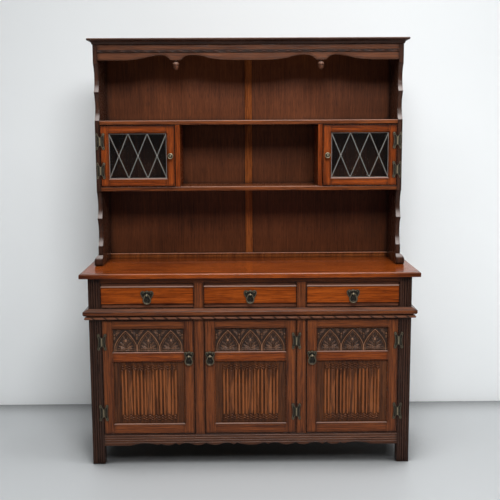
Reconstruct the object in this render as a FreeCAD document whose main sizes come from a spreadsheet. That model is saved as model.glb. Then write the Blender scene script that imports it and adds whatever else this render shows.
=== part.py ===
import FreeCAD
import Part
import math
import os
from types import SimpleNamespace

from FreeCAD import Placement, Rotation, Vector

# A welsh dresser: a panelled base with three drawers over three cupboards, and an open plate rack
# with two leaded cupboards. X runs along the front, -Y is the front and Z is up. The origin is on
# the floor, under the middle of the top board. Lengths are in millimetres.

SIZES = [
    # Base carcass
    ("board_width", 1400, "width of the top board"),
    ("board_depth", 460, "depth of the top board"),
    ("board_top", 820, "height of the top board's upper face"),
    ("board_thickness", 20, "thickness of the top board"),
    ("board_edge_radius", 6, "rounding of the top board's upper edges"),
    ("front_overhang", 24, "top board beyond the front posts"),
    ("end_overhang", 32, "top board beyond the ends of the base"),
    ("post_width", 50, "width of a corner post"),
    ("post_depth", 46, "depth of a front post"),
    ("rear_post_depth", 32, "depth of a rear post"),
    ("reed_width", 10, "width of one reed on a post"),
    ("reed_rise", 3, "depth that the reeds are sunk"),
    ("rail_thickness", 22, "thickness of the front rails and muntins"),
    ("top_rail_height", 22, "rail over the drawers"),
    ("drawer_opening", 107, "height of the drawer openings"),
    ("waist_rail_height", 47, "rail between drawers and doors"),
    ("bottom_rail_height", 41, "straight part of the rail under the doors"),
    ("leg_clearance", 90, "floor to the straight part of the bottom rail"),
    ("scallop_drop", 10, "how far the scallops hang under the bottom rail"),
    ("groove_radius", 3, "radius of the grooves along the bottom rail"),
    ("muntin_width", 40, "upright between two doors or drawers"),
    ("end_rail_thickness", 22, "thickness of the end boards and rails"),
    ("end_panel_thickness", 9, "thickness of the end panels"),
    ("end_panel_recess", 8, "end panels behind the face of the end rails"),
    ("rear_rail_height", 50, "height of the rear top and bottom rails"),
    ("rear_rail_thickness", 18, "thickness of the rear rails"),
    ("base_back_thickness", 6, "thickness of the base's back panel"),
    ("floor_thickness", 12, "thickness of the cupboard floor"),
    ("runner_width", 44, "width of a drawer runner"),
    ("runner_height", 20, "height of a drawer runner"),
    # Waist moulding
    ("waist_projection", 21, "waist moulding beyond the posts"),
    ("waist_height", 28, "height of the waist moulding"),
    ("strip_projection", 17, "carved strip beyond the posts"),
    ("strip_height", 13, "height of the carved strip"),
    ("strip_quirk", 3, "shadow line between moulding and strip"),
    # Drawers
    ("drawer_gap", 1.5, "gap round a drawer front"),
    ("drawer_front_thickness", 20, "thickness of a drawer front"),
    ("drawer_step", 7, "drawer field proud of its edges"),
    ("drawer_edge", 9, "height of the flat edge above and below the field"),
    ("drawer_cove", 8, "height of the cove beside the field"),
    ("drawer_length", 360, "length of a drawer box behind its front"),
    ("drawer_box_height", 82, "height of a drawer's sides"),
    ("drawer_side_thickness", 10, "thickness of a drawer's sides and back"),
    ("drawer_bottom_thickness", 5, "thickness of a drawer's bottom"),
    ("drawer_bottom_rise", 8, "drawer bottom above the lower edge of the sides"),
    ("drawer_side_gap", 3, "gap between a drawer's sides and its opening"),
    ("runner_play", 0.3, "gap between a drawer's sides and the runners"),
    # Panelled doors
    ("door_gap", 2, "gap round a door"),
    ("door_thickness", 22, "thickness of a panelled door's frame"),
    ("stile_width", 44, "width of a panelled door's stiles"),
    ("door_top_rail", 40, "height of a door's top rail"),
    ("door_mid_rail", 44, "height of a door's middle rail"),
    ("door_bottom_rail", 44, "height of a door's bottom rail"),
    ("arch_opening", 96, "height of the carved panel's opening"),
    ("frame_bevel", 4, "bevel round a panel's opening"),
    ("rebate", 6, "lap of a panel or pane behind its frame"),
    ("panel_thickness", 8, "thickness of a door panel"),
    ("panel_setback", 10, "panel behind the face of its frame"),
    ("panel_play", 0.4, "gap round a panel or pane in its rebate"),
    ("arch_relief", 5, "carved arches proud of their panel"),
    ("arch_rib", 5, "width of a carved arch's rib"),
    ("arch_margin", 8, "plain edge round the carved arches"),
    ("arch_gap", 0.6, "gap between two carved arches"),
    ("linen_relief", 6, "linenfold proud of its panel"),
    ("linen_side_margin", 30, "plain edge beside the linenfold"),
    ("linen_end_margin", 14, "plain edge above and below the linenfold"),
    ("linen_crease", 0.5, "crease between two folds above the panel"),
    # Plate rack
    ("rack_width", 1306, "width of the rack over its side boards"),
    ("rack_depth", 236, "depth of the rack's side boards"),
    ("lower_bay", 321, "height from the top board to the lower shelf"),
    ("cupboard_bay", 262, "height between the two shelves"),
    ("upper_bay", 315, "height from the upper shelf to the cornice"),
    ("rack_side_thickness", 19, "thickness of the rack's side boards"),
    ("foot_height", 45, "height of the rack's feet"),
    ("foot_projection", 16, "rack's feet beyond the side boards"),
    ("side_scallop_depth", 24, "depth of a scallop of the side boards"),
    ("shelf_thickness", 19, "thickness of the shelves"),
    ("shelf_setback", 4, "shelves behind the side boards' front edge"),
    ("cupboard_width", 320, "inside width of a glazed cupboard"),
    ("partition_thickness", 19, "thickness of the partitions"),
    ("rack_back_recess", 5, "rack's back panel in from the back edge"),
    ("rack_back_thickness", 6, "thickness of the rack's back panels"),
    ("back_rail_height", 22, "height of the rack's bottom back rail"),
    ("back_rail_thickness", 8, "thickness of the rack's bottom back rail"),
    ("back_muntin_width", 32, "width of the rack's central muntin"),
    ("back_muntin_thickness", 6, "thickness of the rack's central muntin"),
    ("cornice_height", 24, "height of the cornice"),
    ("cornice_projection", 22, "cornice beyond the side boards"),
    ("rack_top_thickness", 18, "thickness of the rack's top board"),
    ("frieze_height", 65, "height of the frieze board at its lowest"),
    ("frieze_thickness", 18, "thickness of the frieze board"),
    ("frieze_setback", 3, "frieze behind the side boards' front edge"),
    ("valance_rise", 21, "height of the arched cuts in the frieze's lower edge"),
    ("frieze_strip_drop", 22, "plain band of the frieze above its carved strip"),
    ("frieze_strip_height", 13, "height of the frieze's carved strip"),
    ("frieze_strip_thickness", 5, "carved strip proud of the frieze"),
    ("pendant_radius", 14, "radius of an acorn pendant"),
    ("pendant_length", 44, "length of an acorn pendant"),
    ("pendant_reach", 0.4826, "pendants from the middle of the frieze, as a share of half the frieze"),
    # Glazed doors
    ("glazed_thickness", 18, "thickness of a glazed door's frame"),
    ("glazed_stile", 36, "width of a glazed door's stiles"),
    ("glazed_rail", 34, "height of a glazed door's rails"),
    ("glass_setback", 8, "glass behind the face of its frame"),
    ("glass_thickness", 3, "thickness of the glass"),
    ("came_width", 4.5, "width of a lead came"),
    ("came_thickness", 2, "thickness of a lead came"),
    ("knob_radius", 12, "radius of a knob"),
    ("knob_length", 24, "length of a knob"),
    # Hinges
    ("knuckle_radius", 3.2, "outer radius of a hinge knuckle"),
    ("pin_radius", 1.6, "radius of a hinge pin"),
    ("running_play", 0.05, "radial gap of a pin in a turning bore"),
    ("knuckle_play", 0.4, "gap beside and between hinge knuckles"),
    ("barrel_length", 34, "length of a hinge's three knuckles"),
    ("pin_head", 3, "hinge pin beyond its knuckles"),
    ("leaf_width", 16, "width of a hinge leaf"),
    ("leaf_height", 70, "height of a hinge leaf"),
    ("leaf_thickness", 1.8, "thickness of a hinge leaf"),
    ("hinge_inset", 92, "middle of a hinge from the end of a panelled door"),
    ("glazed_hinge_inset", 67, "middle of a hinge from the end of a glazed door"),
    # Drop pulls
    ("plate_thickness", 2.5, "thickness of a pull's back plate"),
    ("plate_width", 54, "width of a drawer pull's back plate"),
    ("plate_height", 44, "height of a drawer pull's back plate"),
    ("door_plate_width", 35, "width of a door pull's back plate"),
    ("door_plate_height", 50, "height of a door pull's back plate"),
    ("ring_wire_radius", 2.6, "radius of a drop ring's bar"),
    ("ring_width", 30, "width of a drop ring at the middle of its bar"),
    ("ring_drop", 36, "drop ring from its pivot to the middle of its lower bar"),
    ("ring_shoulder", 5, "bend beside a drop ring's pivot"),
    ("pivot_length", 8, "straight pivot at the top of a drop ring"),
    ("lug_width", 4, "width of the lug that holds a drop ring"),
    ("lug_reach", 10, "drop ring's pivot in front of the wood"),
    ("lug_wall", 2.6, "metal round the pivot's bore"),
    ("pull_rise", 4, "drop ring's pivot above the middle of its drawer front or rail"),
]

doc = FreeCAD.newDocument("welsh_dresser")
sheet = doc.addObject("Spreadsheet::Sheet", "sizes")


class Size:
    """A length of the dresser: the expression that ties it to the sheet, and its value."""

    def __init__(self, text, value):
        self.text = text
        self.value = value

    def __add__(self, other):
        other = as_size(other)
        return Size(f"({self.text} + {other.text})", self.value + other.value)

    def __sub__(self, other):
        other = as_size(other)
        return Size(f"({self.text} - {other.text})", self.value - other.value)

    def __mul__(self, factor):
        return Size(f"({self.text} * {factor})", self.value * factor)

    def __truediv__(self, divisor):
        return Size(f"({self.text} / {divisor})", self.value / divisor)

    def __neg__(self):
        return self * -1

    __radd__ = __add__
    __rmul__ = __mul__

    def __rsub__(self, other):
        return as_size(other) - self


def as_size(length):
    return length if isinstance(length, Size) else Size(str(float(length)), float(length))


def fill_sheet():
    """Writes the driving sizes into the sheet and returns them by name."""
    for row, (alias, millimetres, words) in enumerate(SIZES, start=1):
        sheet.set(f"A{row}", words)
        sheet.set(f"B{row}", str(millimetres))
        sheet.setAlias(f"B{row}", alias)
    doc.recompute()
    lengths = {alias: Size(f"sizes.{alias}", float(sheet.get(alias))) for alias, _, _ in SIZES}
    return SimpleNamespace(**lengths)


s = fill_sheet()
sub_parts = {}

# Levels and planes that several pieces share
back = s.board_depth / 2
face = s.front_overhang - s.board_depth / 2
end = s.board_width / 2 - s.end_overhang
inner = end - s.post_width
board_under = s.board_top - s.board_thickness
drawer_top = board_under - s.top_rail_height
waist_top = drawer_top - s.drawer_opening
waist_under = waist_top - s.waist_rail_height
floor_top = s.leg_clearance + s.bottom_rail_height
rail_back = face + s.rail_thickness
base_back = back - s.base_back_thickness
opening = (inner * 2 - s.muntin_width * 2) / 3
OPENINGS = {
    "left": (-inner, opening - inner),
    "centre": (-opening / 2, opening / 2),
    "right": (inner - opening, inner),
}
rack_face = back - s.rack_depth
rack_end = s.rack_width / 2
rack_inner = rack_end - s.rack_side_thickness
rack_back_front = back - s.rack_back_recess - s.rack_back_thickness
foot_top = s.board_top + s.foot_height
lower_shelf_under = s.board_top + s.lower_bay
lower_shelf_top = lower_shelf_under + s.shelf_thickness
upper_shelf_under = lower_shelf_top + s.cupboard_bay
upper_shelf_top = upper_shelf_under + s.shelf_thickness
rack_under_top = upper_shelf_top + s.upper_bay
rack_top = rack_under_top + s.cornice_height
partition_inner = rack_inner - s.cupboard_width - s.partition_thickness
partition_outer = rack_inner - s.cupboard_width
hinge_axis_reach = s.knuckle_radius + s.knuckle_play
bore_radius = s.pin_radius + s.running_play


# Building blocks

def bind_place(piece, x, y, z):
    for axis, length in zip("xyz", (x, y, z)):
        piece.setExpression(".Placement.Base." + axis, as_size(length).text)


def box(name, low, high):
    """A square-edged board between two corners."""
    board = doc.addObject("Part::Box", name)
    for side, near, far in zip(("Length", "Width", "Height"), low, high):
        board.setExpression(side, (as_size(far) - near).text)
    bind_place(board, *low)
    return board


def cylinder(name, radius, length, x, y, z, turn=None):
    """A round bar from a point, upright or turned."""
    bar = doc.addObject("Part::Cylinder", name)
    bar.setExpression("Radius", as_size(radius).text)
    bar.setExpression("Height", as_size(length).text)
    if turn:
        bar.Placement = Placement(Vector(), turn)
    bind_place(bar, x, y, z)
    return bar


ALONG_X = Rotation(Vector(0, 1, 0), 90)


def fuse(name, pieces):
    joined = doc.addObject("Part::MultiFuse", name)
    joined.Shapes = pieces
    joined.Refine = True
    return joined


def cut(name, base, tool):
    shaped = doc.addObject("Part::Cut", name)
    shaped.Base = base
    shaped.Tool = tool
    return shaped


def gather(name, pieces):
    """Several pieces kept as separate solids."""
    group = doc.addObject("Part::Compound", name)
    group.Links = pieces
    return group


def sub_part(label, piece):
    """Names a finished piece, or a group of like pieces, as a sub-part of the dresser."""
    if isinstance(piece, list):
        piece = gather(label, piece)
    piece.Label = label
    sub_parts[label] = piece
    return piece


def outline(loop, lift=Vector):
    """Curves round a closed loop. (u, v) ends a straight run, and (u, v, via_u, via_v) ends an arc."""
    corners = [[as_size(number).value for number in corner] for corner in loop]
    curves = []
    for before, corner in zip([corners[-1]] + corners, corners):
        begin = lift(before[0], before[1], 0)
        finish = lift(corner[0], corner[1], 0)
        if len(corner) == 2:
            curves.append(Part.LineSegment(begin, finish))
        else:
            curves.append(Part.Arc(begin, lift(corner[2], corner[3], 0), finish))
    return curves


def rectangle(u_low, v_low, u_high, v_high):
    return [(u_low, v_low), (u_high, v_low), (u_high, v_high), (u_low, v_high)]


def sketch_on(body, name, role, loops, offset=0.0):
    """A sketch of closed loops on one of the body's own planes."""
    sketch = body.newObject("Sketcher::SketchObject", name)
    plane = [feature for feature in body.Origin.OriginFeatures if feature.Role == role][0]
    sketch.AttachmentSupport = (plane, [""])
    sketch.MapMode = "FlatFace"
    sketch.AttachmentOffset = Placement(Vector(0, 0, offset), Rotation())
    for loop in loops:
        sketch.addGeometry(outline(loop), False)
    return sketch


def add_pad(body, name, role, loops, length, offset=0.0):
    sketch = sketch_on(body, name + "_outline", role, loops, offset)
    pad = body.newObject("PartDesign::Pad", name + "_pad")
    pad.Profile = sketch
    pad.setExpression("Length", as_size(length).text)
    return pad


def padded(name, role, loops, length, x=0, y=0, z=0):
    """A body padded from an outline: XZ_Plane pads to the front, YZ_Plane to the right, XY_Plane up."""
    body = doc.addObject("PartDesign::Body", name)
    add_pad(body, name, role, loops, length)
    bind_place(body, x, y, z)
    return body


def turned(name, loop, x, y, z, turn):
    """A body turned on the lathe: its half outline, as (radius, length), spun about the length."""
    body = doc.addObject("PartDesign::Body", name)
    sketch = sketch_on(body, name + "_outline", "XZ_Plane", [loop])
    lathe = body.newObject("PartDesign::Revolution", name + "_lathe")
    lathe.Profile = sketch
    lathe.ReferenceAxis = (sketch, ["V_Axis"])
    lathe.Angle = 360
    body.Placement = Placement(Vector(), turn)
    bind_place(body, x, y, z)
    return body


def wrapped(name, half_width, front, rear, profile):
    """A moulding in three mitred lengths, along the front and down both ends.

    Its profile is given as (outward, height).
    """
    left, right = -half_width.value, half_width.value
    spine = Part.makePolygon([
        Vector(left, rear.value, 0),
        Vector(left, front.value, 0),
        Vector(right, front.value, 0),
        Vector(right, rear.value, 0),
    ])

    def at_left_end(outward, height, _):
        return Vector(left - outward, rear.value, height)

    section = Part.Wire([curve.toShape() for curve in outline(profile, at_left_end)])
    whole = spine.makePipeShell([section], True, False, 1)
    reach = max(as_size(corner[0]).value for corner in profile) * 2
    mitred = Part.Face(Part.makePolygon([
        Vector(left, front.value, 0),
        Vector(left - reach, front.value - reach, 0),
        Vector(right + reach, front.value - reach, 0),
        Vector(right, front.value, 0),
        Vector(left, front.value, 0),
    ])).extrude(Vector(0, 0, rack_top.value))
    lengths = whole.common(mitred).Solids + whole.cut(mitred).Solids
    moulding = doc.addObject("Part::Feature", name)
    moulding.Shape = Part.Compound(lengths)
    return moulding


# Base carcass

def top_board():
    body = doc.addObject("PartDesign::Body", "top_board")
    plan = rectangle(-s.board_width / 2, -s.board_depth / 2, s.board_width / 2, s.board_depth / 2)
    pad = add_pad(body, "top_board", "XY_Plane", [plan], s.board_thickness)
    doc.recompute()
    upper_edges = []
    for number, edge in enumerate(pad.Shape.Edges, start=1):
        middle = edge.CenterOfMass
        if abs(middle.z - s.board_thickness.value) < 0.01 and middle.y < s.board_depth.value / 4:
            upper_edges.append(f"Edge{number}")
    rounding = body.newObject("PartDesign::Fillet", "top_board_rounding")
    rounding.Base = (pad, upper_edges)
    rounding.setExpression("Radius", s.board_edge_radius.text)
    bind_place(body, 0, 0, board_under)
    sub_part("top_board", body)


REED_COUNT = 3


def reeded_post(name, x):
    """A front post with reeds sunk into its face."""
    reeds = s.reed_width * REED_COUNT
    start = (s.post_width - reeds) / 2
    loop = [(0, s.post_depth), (0, 0), (start, 0), (start, s.reed_rise)]
    for reed in range(REED_COUNT):
        crest = start + s.reed_width * (reed + 0.5)
        loop.append((start + s.reed_width * (reed + 1), s.reed_rise, crest, 0))
    loop += [(start + reeds, 0), (s.post_width, 0), (s.post_width, s.post_depth)]
    return padded(name, "XY_Plane", [loop], board_under, x, face)


def posts():
    rear_face = base_back - s.rear_post_depth
    pieces = []
    for side, x in (("left", -end), ("right", inner)):
        far_corner = (x + s.post_width, base_back, board_under)
        pieces.append(reeded_post(f"front_post_{side}", x))
        pieces.append(box(f"rear_post_{side}", (x, rear_face, 0), far_corner))
    sub_part("corner_posts", pieces)


def front_frame():
    """Rails over and under the drawers, and the uprights between drawers and between doors."""
    pieces = [
        box("top_rail", (-inner, face, drawer_top), (inner, rail_back, board_under)),
        box("waist_rail", (-inner, face, waist_under), (inner, rail_back, waist_top)),
    ]
    for side, x in (("left", OPENINGS["left"][1]), ("right", OPENINGS["centre"][1])):
        far = x + s.muntin_width
        pieces.append(box(f"drawer_divider_{side}", (x, face, waist_top), (far, rail_back, drawer_top)))
        pieces.append(box(f"door_muntin_{side}", (x, face, floor_top), (far, rail_back, waist_under)))
    sub_part("front_frame", pieces)


def mirrored_edge(left_half, edge_point, crown=()):
    """Corners of a shaped edge from left to right: its left half, an arc or a straight, its mirror image.

    A corner of the half is (share, height), or (share, height, via_share, via_height) to end an arc.
    """
    corners = []
    for share, height, *via in left_half:
        corners.append(edge_point(share, height) + (edge_point(*via) if via else ()))
    share, height = left_half[-1][:2]
    corners.append(edge_point(-share, height) + (edge_point(*crown) if crown else ()))
    for (share, height, *_), (_, _, *via) in zip(left_half[-2::-1], left_half[::-1]):
        corners.append(edge_point(-share, height) + (edge_point(-via[0], via[1]) if via else ()))
    return corners


# Lower edge of the bottom rail from its left end to the middle: distance from the middle as a share
# of half the rail, drop as a share of the scallops' depth, and the same for an arc's middle point
APRON_EDGE = [
    (-0.82, 1.0),
    (-0.635, 0.75, -0.71, 0.0),
    (-0.612, 0.2),
    (-0.515, 0.0, -0.562, 0.95),
    (-0.490, 0.8),
    (-0.395, 0.6, -0.445, 0.0),
    (-0.306, 0.0, -0.352, 0.95),
    (-0.195, 0.3, -0.25, 0.9),
    (-0.118, 0.75, -0.155, 0.0),
    (-0.094, 0.0),
]
GROOVE_COUNT = 4


def bottom_rail():
    """The rail under the doors: grooves along its face and a scalloped lower edge."""
    def edge_point(share, drop):
        return inner * share, s.leg_clearance - s.scallop_drop * drop

    loop = [(-inner, floor_top), edge_point(-1, 1)]
    loop += mirrored_edge(APRON_EDGE, edge_point, crown=(0, 1))
    loop += [edge_point(1, 1), (inner, floor_top)]
    board = padded("bottom_rail_board", "XZ_Plane", [loop], s.rail_thickness, 0, rail_back)
    step = s.bottom_rail_height / GROOVE_COUNT
    depth = face - s.groove_radius / 2
    grooves = []
    for number in range(GROOVE_COUNT):
        name = f"rail_groove_{number + 1}"
        height = s.leg_clearance + step * (number + 0.5)
        grooves.append(cylinder(name, s.groove_radius, inner * 2, -inner, depth, height, ALONG_X))
    sub_part("bottom_rail", cut("bottom_rail", board, gather("rail_grooves", grooves)))


def base_ends():
    """Boards, rails and panel that close each end of the base between its posts."""
    near = face + s.post_depth
    far = base_back - s.rear_post_depth
    rail_inner = end - s.end_rail_thickness
    panel_outer = end - s.end_panel_recess
    panel_inner = panel_outer - s.end_panel_thickness
    levels = (
        ("board", waist_top, board_under),
        ("waist_rail", waist_under, waist_top),
        ("low_rail", s.leg_clearance, floor_top),
    )
    pieces = []
    for side, rails, panel in (
        ("left", (-end, -rail_inner), (-panel_outer, -panel_inner)),
        ("right", (rail_inner, end), (panel_inner, panel_outer)),
    ):
        for words, under, over in levels:
            pieces.append(box(f"end_{words}_{side}", (rails[0], near, under), (rails[1], far, over)))
        pieces.append(box(f"end_panel_{side}", (panel[0], near, floor_top), (panel[1], far, waist_under)))
    sub_part("base_ends", pieces)


def base_rear():
    """Rails between the rear posts, and the thin panel that closes the back."""
    near = base_back - s.rear_rail_thickness
    low_edge = floor_top - s.rear_rail_height
    levels = (
        ("top", board_under - s.rear_rail_height, board_under),
        ("waist", waist_under, waist_top),
        ("low", low_edge, floor_top),
    )
    pieces = [box("base_back_panel", (-end, base_back, low_edge), (end, back, board_under))]
    for words, under, over in levels:
        pieces.append(box(f"rear_rail_{words}", (-inner, near, under), (inner, base_back, over)))
    sub_part("base_back", pieces)


def cupboard_floor():
    under = floor_top - s.floor_thickness
    far = base_back - s.rear_rail_thickness
    sub_part("cupboard_floor", box("cupboard_floor", (-inner, rail_back, under), (inner, far, floor_top)))


def drawer_runners():
    """Runners from the waist rail to the rear rail, one at each side of every drawer."""
    far = base_back - s.rear_rail_thickness
    under = waist_top - s.runner_height
    half = s.runner_width / 2
    muntin = opening / 2 + s.muntin_width / 2
    pieces = []
    for number, x in enumerate((half - inner, -muntin, muntin, inner - half), start=1):
        low_corner = (x - half, rail_back, under)
        pieces.append(box(f"drawer_runner_{number}", low_corner, (x + half, far, waist_top)))
    sub_part("drawer_runners", pieces)


def waist_mouldings():
    """The weathered moulding under the drawers, and the half-round carved strip below it."""
    out, high = s.waist_projection, waist_top
    low = waist_top - s.waist_height
    nose = low + s.waist_height * 0.45
    profile = [
        (0, low),
        (out * 0.7, low),
        (out, nose, out * 0.97, low + s.waist_height * 0.16),
        (out * 0.75, high - s.waist_height * 0.28, out * 0.95, low + s.waist_height * 0.66),
        (0, high),
    ]
    sub_part("waist_moulding", wrapped("waist_moulding", end, face, base_back, profile))
    strip_top = low - s.strip_quirk
    strip_low = strip_top - s.strip_height
    core = s.strip_projection - s.strip_height / 2
    strip = [
        (0, strip_low),
        (core, strip_low),
        (core, strip_top, s.strip_projection, strip_low + s.strip_height / 2),
        (core * 0.6, strip_top),
        (core * 0.6, low),
        (0, low),
    ]
    sub_part("carved_strip", wrapped("carved_strip", end, face, base_back, strip))


# Fittings

# How far a drill or cutter runs past the piece that it goes through
OVERRUN = 1


def hinge_leaf(name, x, y, z, hand, knuckles):
    """A butterfly leaf with its knuckles. hand is 1 for a leaf to the right of the pin, -1 to the left."""
    root = (s.knuckle_radius + s.knuckle_play) * hand
    tip = root + s.leaf_width * hand
    half = s.leaf_height / 2
    neck = s.barrel_length / 2 + s.pin_head
    wing = root + s.leaf_width * (0.42 * hand)
    scoop = root + s.leaf_width * (0.3 * hand)
    shoulder = tip - s.leaf_width * (0.12 * hand)
    loop = [
        (root, -neck),
        (wing, -half, scoop, half * -0.76),
        (tip, s.leaf_width * 0.45 - half, shoulder, s.leaf_width * 0.09 - half),
        (tip, half - s.leaf_width * 0.45, tip - s.leaf_width * (0.3 * hand), 0),
        (wing, half, shoulder, half - s.leaf_width * 0.09),
        (root, neck, scoop, half * 0.76),
    ]
    pieces = [padded(f"{name}_plate", "XZ_Plane", [loop], s.leaf_thickness, x, y, z)]
    axis = y - hinge_axis_reach
    web = root + s.leaf_width * (0.2 * hand)
    web_left, web_right = (x, x + web) if hand > 0 else (x + web, x)
    web_front, web_rear = y - s.leaf_thickness * 1.5, y - s.knuckle_play
    for number, (low, high) in enumerate(knuckles, start=1):
        pieces.append(cylinder(f"{name}_knuckle_{number}", s.knuckle_radius, high - low, x, axis, z + low))
        low_corner = (web_left, web_front, z + low)
        pieces.append(box(f"{name}_web_{number}", low_corner, (web_right, web_rear, z + high)))
    drilled = s.barrel_length + OVERRUN * 2
    bore = cylinder(f"{name}_bore", bore_radius, drilled, x, axis, z - drilled / 2)
    return cut(name, fuse(f"{name}_metal", pieces), bore)


def hinge(name, x, y, z, hand):
    """A hinge whose fixed leaf lies on the frame and whose turning leaf lies on the door, to its hand."""
    third = s.barrel_length / 6
    half = s.barrel_length / 2
    middle = [(-third, third)]
    ends = [(-half, -third - s.knuckle_play), (third + s.knuckle_play, half)]
    fixed = hinge_leaf(f"{name}_fixed_leaf", x, y, z, -hand, ends)
    turning = hinge_leaf(f"{name}_turning_leaf", x, y, z, hand, middle)
    length = s.barrel_length + s.pin_head * 2
    pin = cylinder(f"{name}_pin", s.pin_radius, length, x, y - hinge_axis_reach, z - length / 2)
    return fixed, pin, turning


def drop_ring(name, x, y, z):
    """A pear-shaped ring on a straight pivot, hanging from its lug. Its bar follows tangent arcs."""
    pivot = s.pivot_length.value / 2
    shoulder, belly = s.ring_shoulder.value, s.ring_width.value / 2
    shoulder_centre = Vector(pivot, -shoulder)
    belly_centre = Vector(0, belly - s.ring_drop.value)
    apart = belly_centre - shoulder_centre
    slope = math.atan2(apart.y, apart.x) + math.acos((shoulder - belly) / apart.Length)
    outward = Vector(math.cos(slope), math.sin(slope))
    halfway = Vector(math.cos((slope + math.pi / 2) / 2), math.sin((slope + math.pi / 2) / 2))
    bend = shoulder_centre + halfway * shoulder
    high = shoulder_centre + outward * shoulder
    low = belly_centre + outward * belly
    path = [
        (pivot, 0),
        (high.x, high.y, bend.x, bend.y),
        (low.x, low.y),
        (-low.x, low.y, 0, -s.ring_drop),
        (-high.x, high.y),
        (-pivot, 0, -bend.x, bend.y),
    ]

    def facing_front(across, up, _):
        return Vector(across, 0, up)

    spine = Part.Wire([curve.toShape() for curve in outline(path, facing_front)])
    section = Part.Wire(Part.makeCircle(s.ring_wire_radius.value, Vector(-pivot, 0, 0), Vector(1, 0, 0)))
    ring = doc.addObject("Part::Feature", name)
    ring.Shape = spine.makePipeShell([section], True, False)
    bind_place(ring, x, y - s.lug_reach, z)
    return ring


def pull_plate(name, x, y, z, loop):
    """A pull's back plate with the lug that its ring turns in."""
    plate = padded(f"{name}_metal", "XZ_Plane", [loop], s.plate_thickness, x, y, z)
    half = s.lug_width / 2
    lug_radius = s.ring_wire_radius + s.lug_wall
    axis = y - s.lug_reach
    neck = box(f"{name}_neck", (x - half, axis, z - lug_radius), (x + half, y, z + lug_radius))
    eye = cylinder(f"{name}_eye", lug_radius, s.lug_width, x - half, axis, z, ALONG_X)
    ring_bore = s.ring_wire_radius + s.running_play
    drilled = s.lug_width + OVERRUN * 2
    bore = cylinder(f"{name}_bore", ring_bore, drilled, x - drilled / 2, axis, z, ALONG_X)
    return cut(name, fuse(f"{name}_whole", [plate, neck, eye]), bore)


def heart_loop(width, height):
    """A lobed heart, with its lug a third of the way down."""
    half = width / 2
    top = height * 0.36
    tip = height * -0.64
    return [
        (half, top * 0.2, half * 0.72, tip * 0.45),
        (half * 0.32, top * 0.85, half * 0.8, top),
        (half * -0.32, top * 0.85, 0, top * 1.15),
        (-half, top * 0.2, half * -0.8, top),
        (0, tip, half * -0.72, tip * 0.45),
    ]


# Drawers

def drawer(side):
    """A moulded front, a box of four thin boards behind it, and a drop pull."""
    name = f"drawer_{side}"
    left, right = OPENINGS[side]
    x_low, x_high = left + s.drawer_gap, right - s.drawer_gap
    z_low, z_high = waist_top + s.drawer_gap, drawer_top - s.drawer_gap
    step = face + s.drawer_step
    rear = face + s.drawer_front_thickness
    low_field = z_low + s.drawer_edge + s.drawer_cove
    high_field = z_high - s.drawer_edge - s.drawer_cove
    deep = face + s.drawer_step * 0.7
    profile = [
        (rear, z_low),
        (step, z_low),
        (step, z_low + s.drawer_edge),
        (face, low_field, deep, low_field - s.drawer_cove * 0.3),
        (face, high_field),
        (step, z_high - s.drawer_edge, deep, high_field + s.drawer_cove * 0.3),
        (step, z_high),
        (rear, z_high),
    ]
    front = padded(f"{name}_front", "YZ_Plane", [profile], x_high - x_low, x_low)
    sub_part(f"{name}_front", front)

    box_left, box_right = left + s.drawer_side_gap, right - s.drawer_side_gap
    box_low = waist_top + s.runner_play
    box_high = box_low + s.drawer_box_height
    far = rear + s.drawer_length
    wall = s.drawer_side_thickness
    bottom = box_low + s.drawer_bottom_rise
    bottom_top = bottom + s.drawer_bottom_thickness
    sub_part(f"{name}_box", [
        box(f"{name}_side_1", (box_left, rear, box_low), (box_left + wall, far, box_high)),
        box(f"{name}_side_2", (box_right - wall, rear, box_low), (box_right, far, box_high)),
        box(f"{name}_back", (box_left + wall, far - wall, bottom_top), (box_right - wall, far, box_high)),
        box(f"{name}_bottom", (box_left + wall, rear, bottom), (box_right - wall, far, bottom_top)),
    ])
    x = (left + right) / 2
    z = (z_low + z_high) / 2 + s.pull_rise
    plate = heart_loop(s.plate_width, s.plate_height)
    sub_part(f"{name}_pull_plate", pull_plate(f"{name}_pull_plate", x, face, z, plate))
    sub_part(f"{name}_pull_ring", drop_ring(f"{name}_pull_ring", x, face, z))


# Doors

def wedge_cutter(name, x_low, x_high, z_low, z_high, front):
    """A cutter that bevels the front edges of a frame's opening."""
    cutter = doc.addObject("Part::Wedge", name)
    width = x_high - x_low
    height = z_high - z_low
    bevel = s.frame_bevel
    spans = {
        "Xmin": -bevel, "Xmax": width + bevel, "Zmin": -bevel, "Zmax": height + bevel,
        "X2min": 0, "X2max": width, "Z2min": 0, "Z2max": height, "Ymin": 0, "Ymax": bevel,
    }
    for field, length in spans.items():
        cutter.setExpression(field, as_size(length).text)
    bind_place(cutter, x_low, front, z_low)
    return cutter


def framed(name, members, openings, front, rear, rebate_front):
    """Frame members, bevelled at the front of each opening and rebated behind it."""
    boards = []
    for number, (x_low, x_high, z_low, z_high) in enumerate(members, start=1):
        board = box(f"{name}_member_{number}", (x_low, front, z_low), (x_high, rear, z_high))
        cutters = []
        for hole, (left, right, low, high) in enumerate(openings, start=1):
            cutter = f"{name}_{{}}_{number}_{hole}"
            low_corner = (left - s.rebate, rebate_front, low - s.rebate)
            high_corner = (right + s.rebate, rear, high + s.rebate)
            cutters.append(wedge_cutter(cutter.format("bevel"), left, right, low, high, front))
            cutters.append(box(cutter.format("rebate"), low_corner, high_corner))
        boards.append(cut(f"{name}_board_{number}", board, fuse(f"{name}_cutters_{number}", cutters)))
    return boards


ARCH_COUNT = 3


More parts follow.
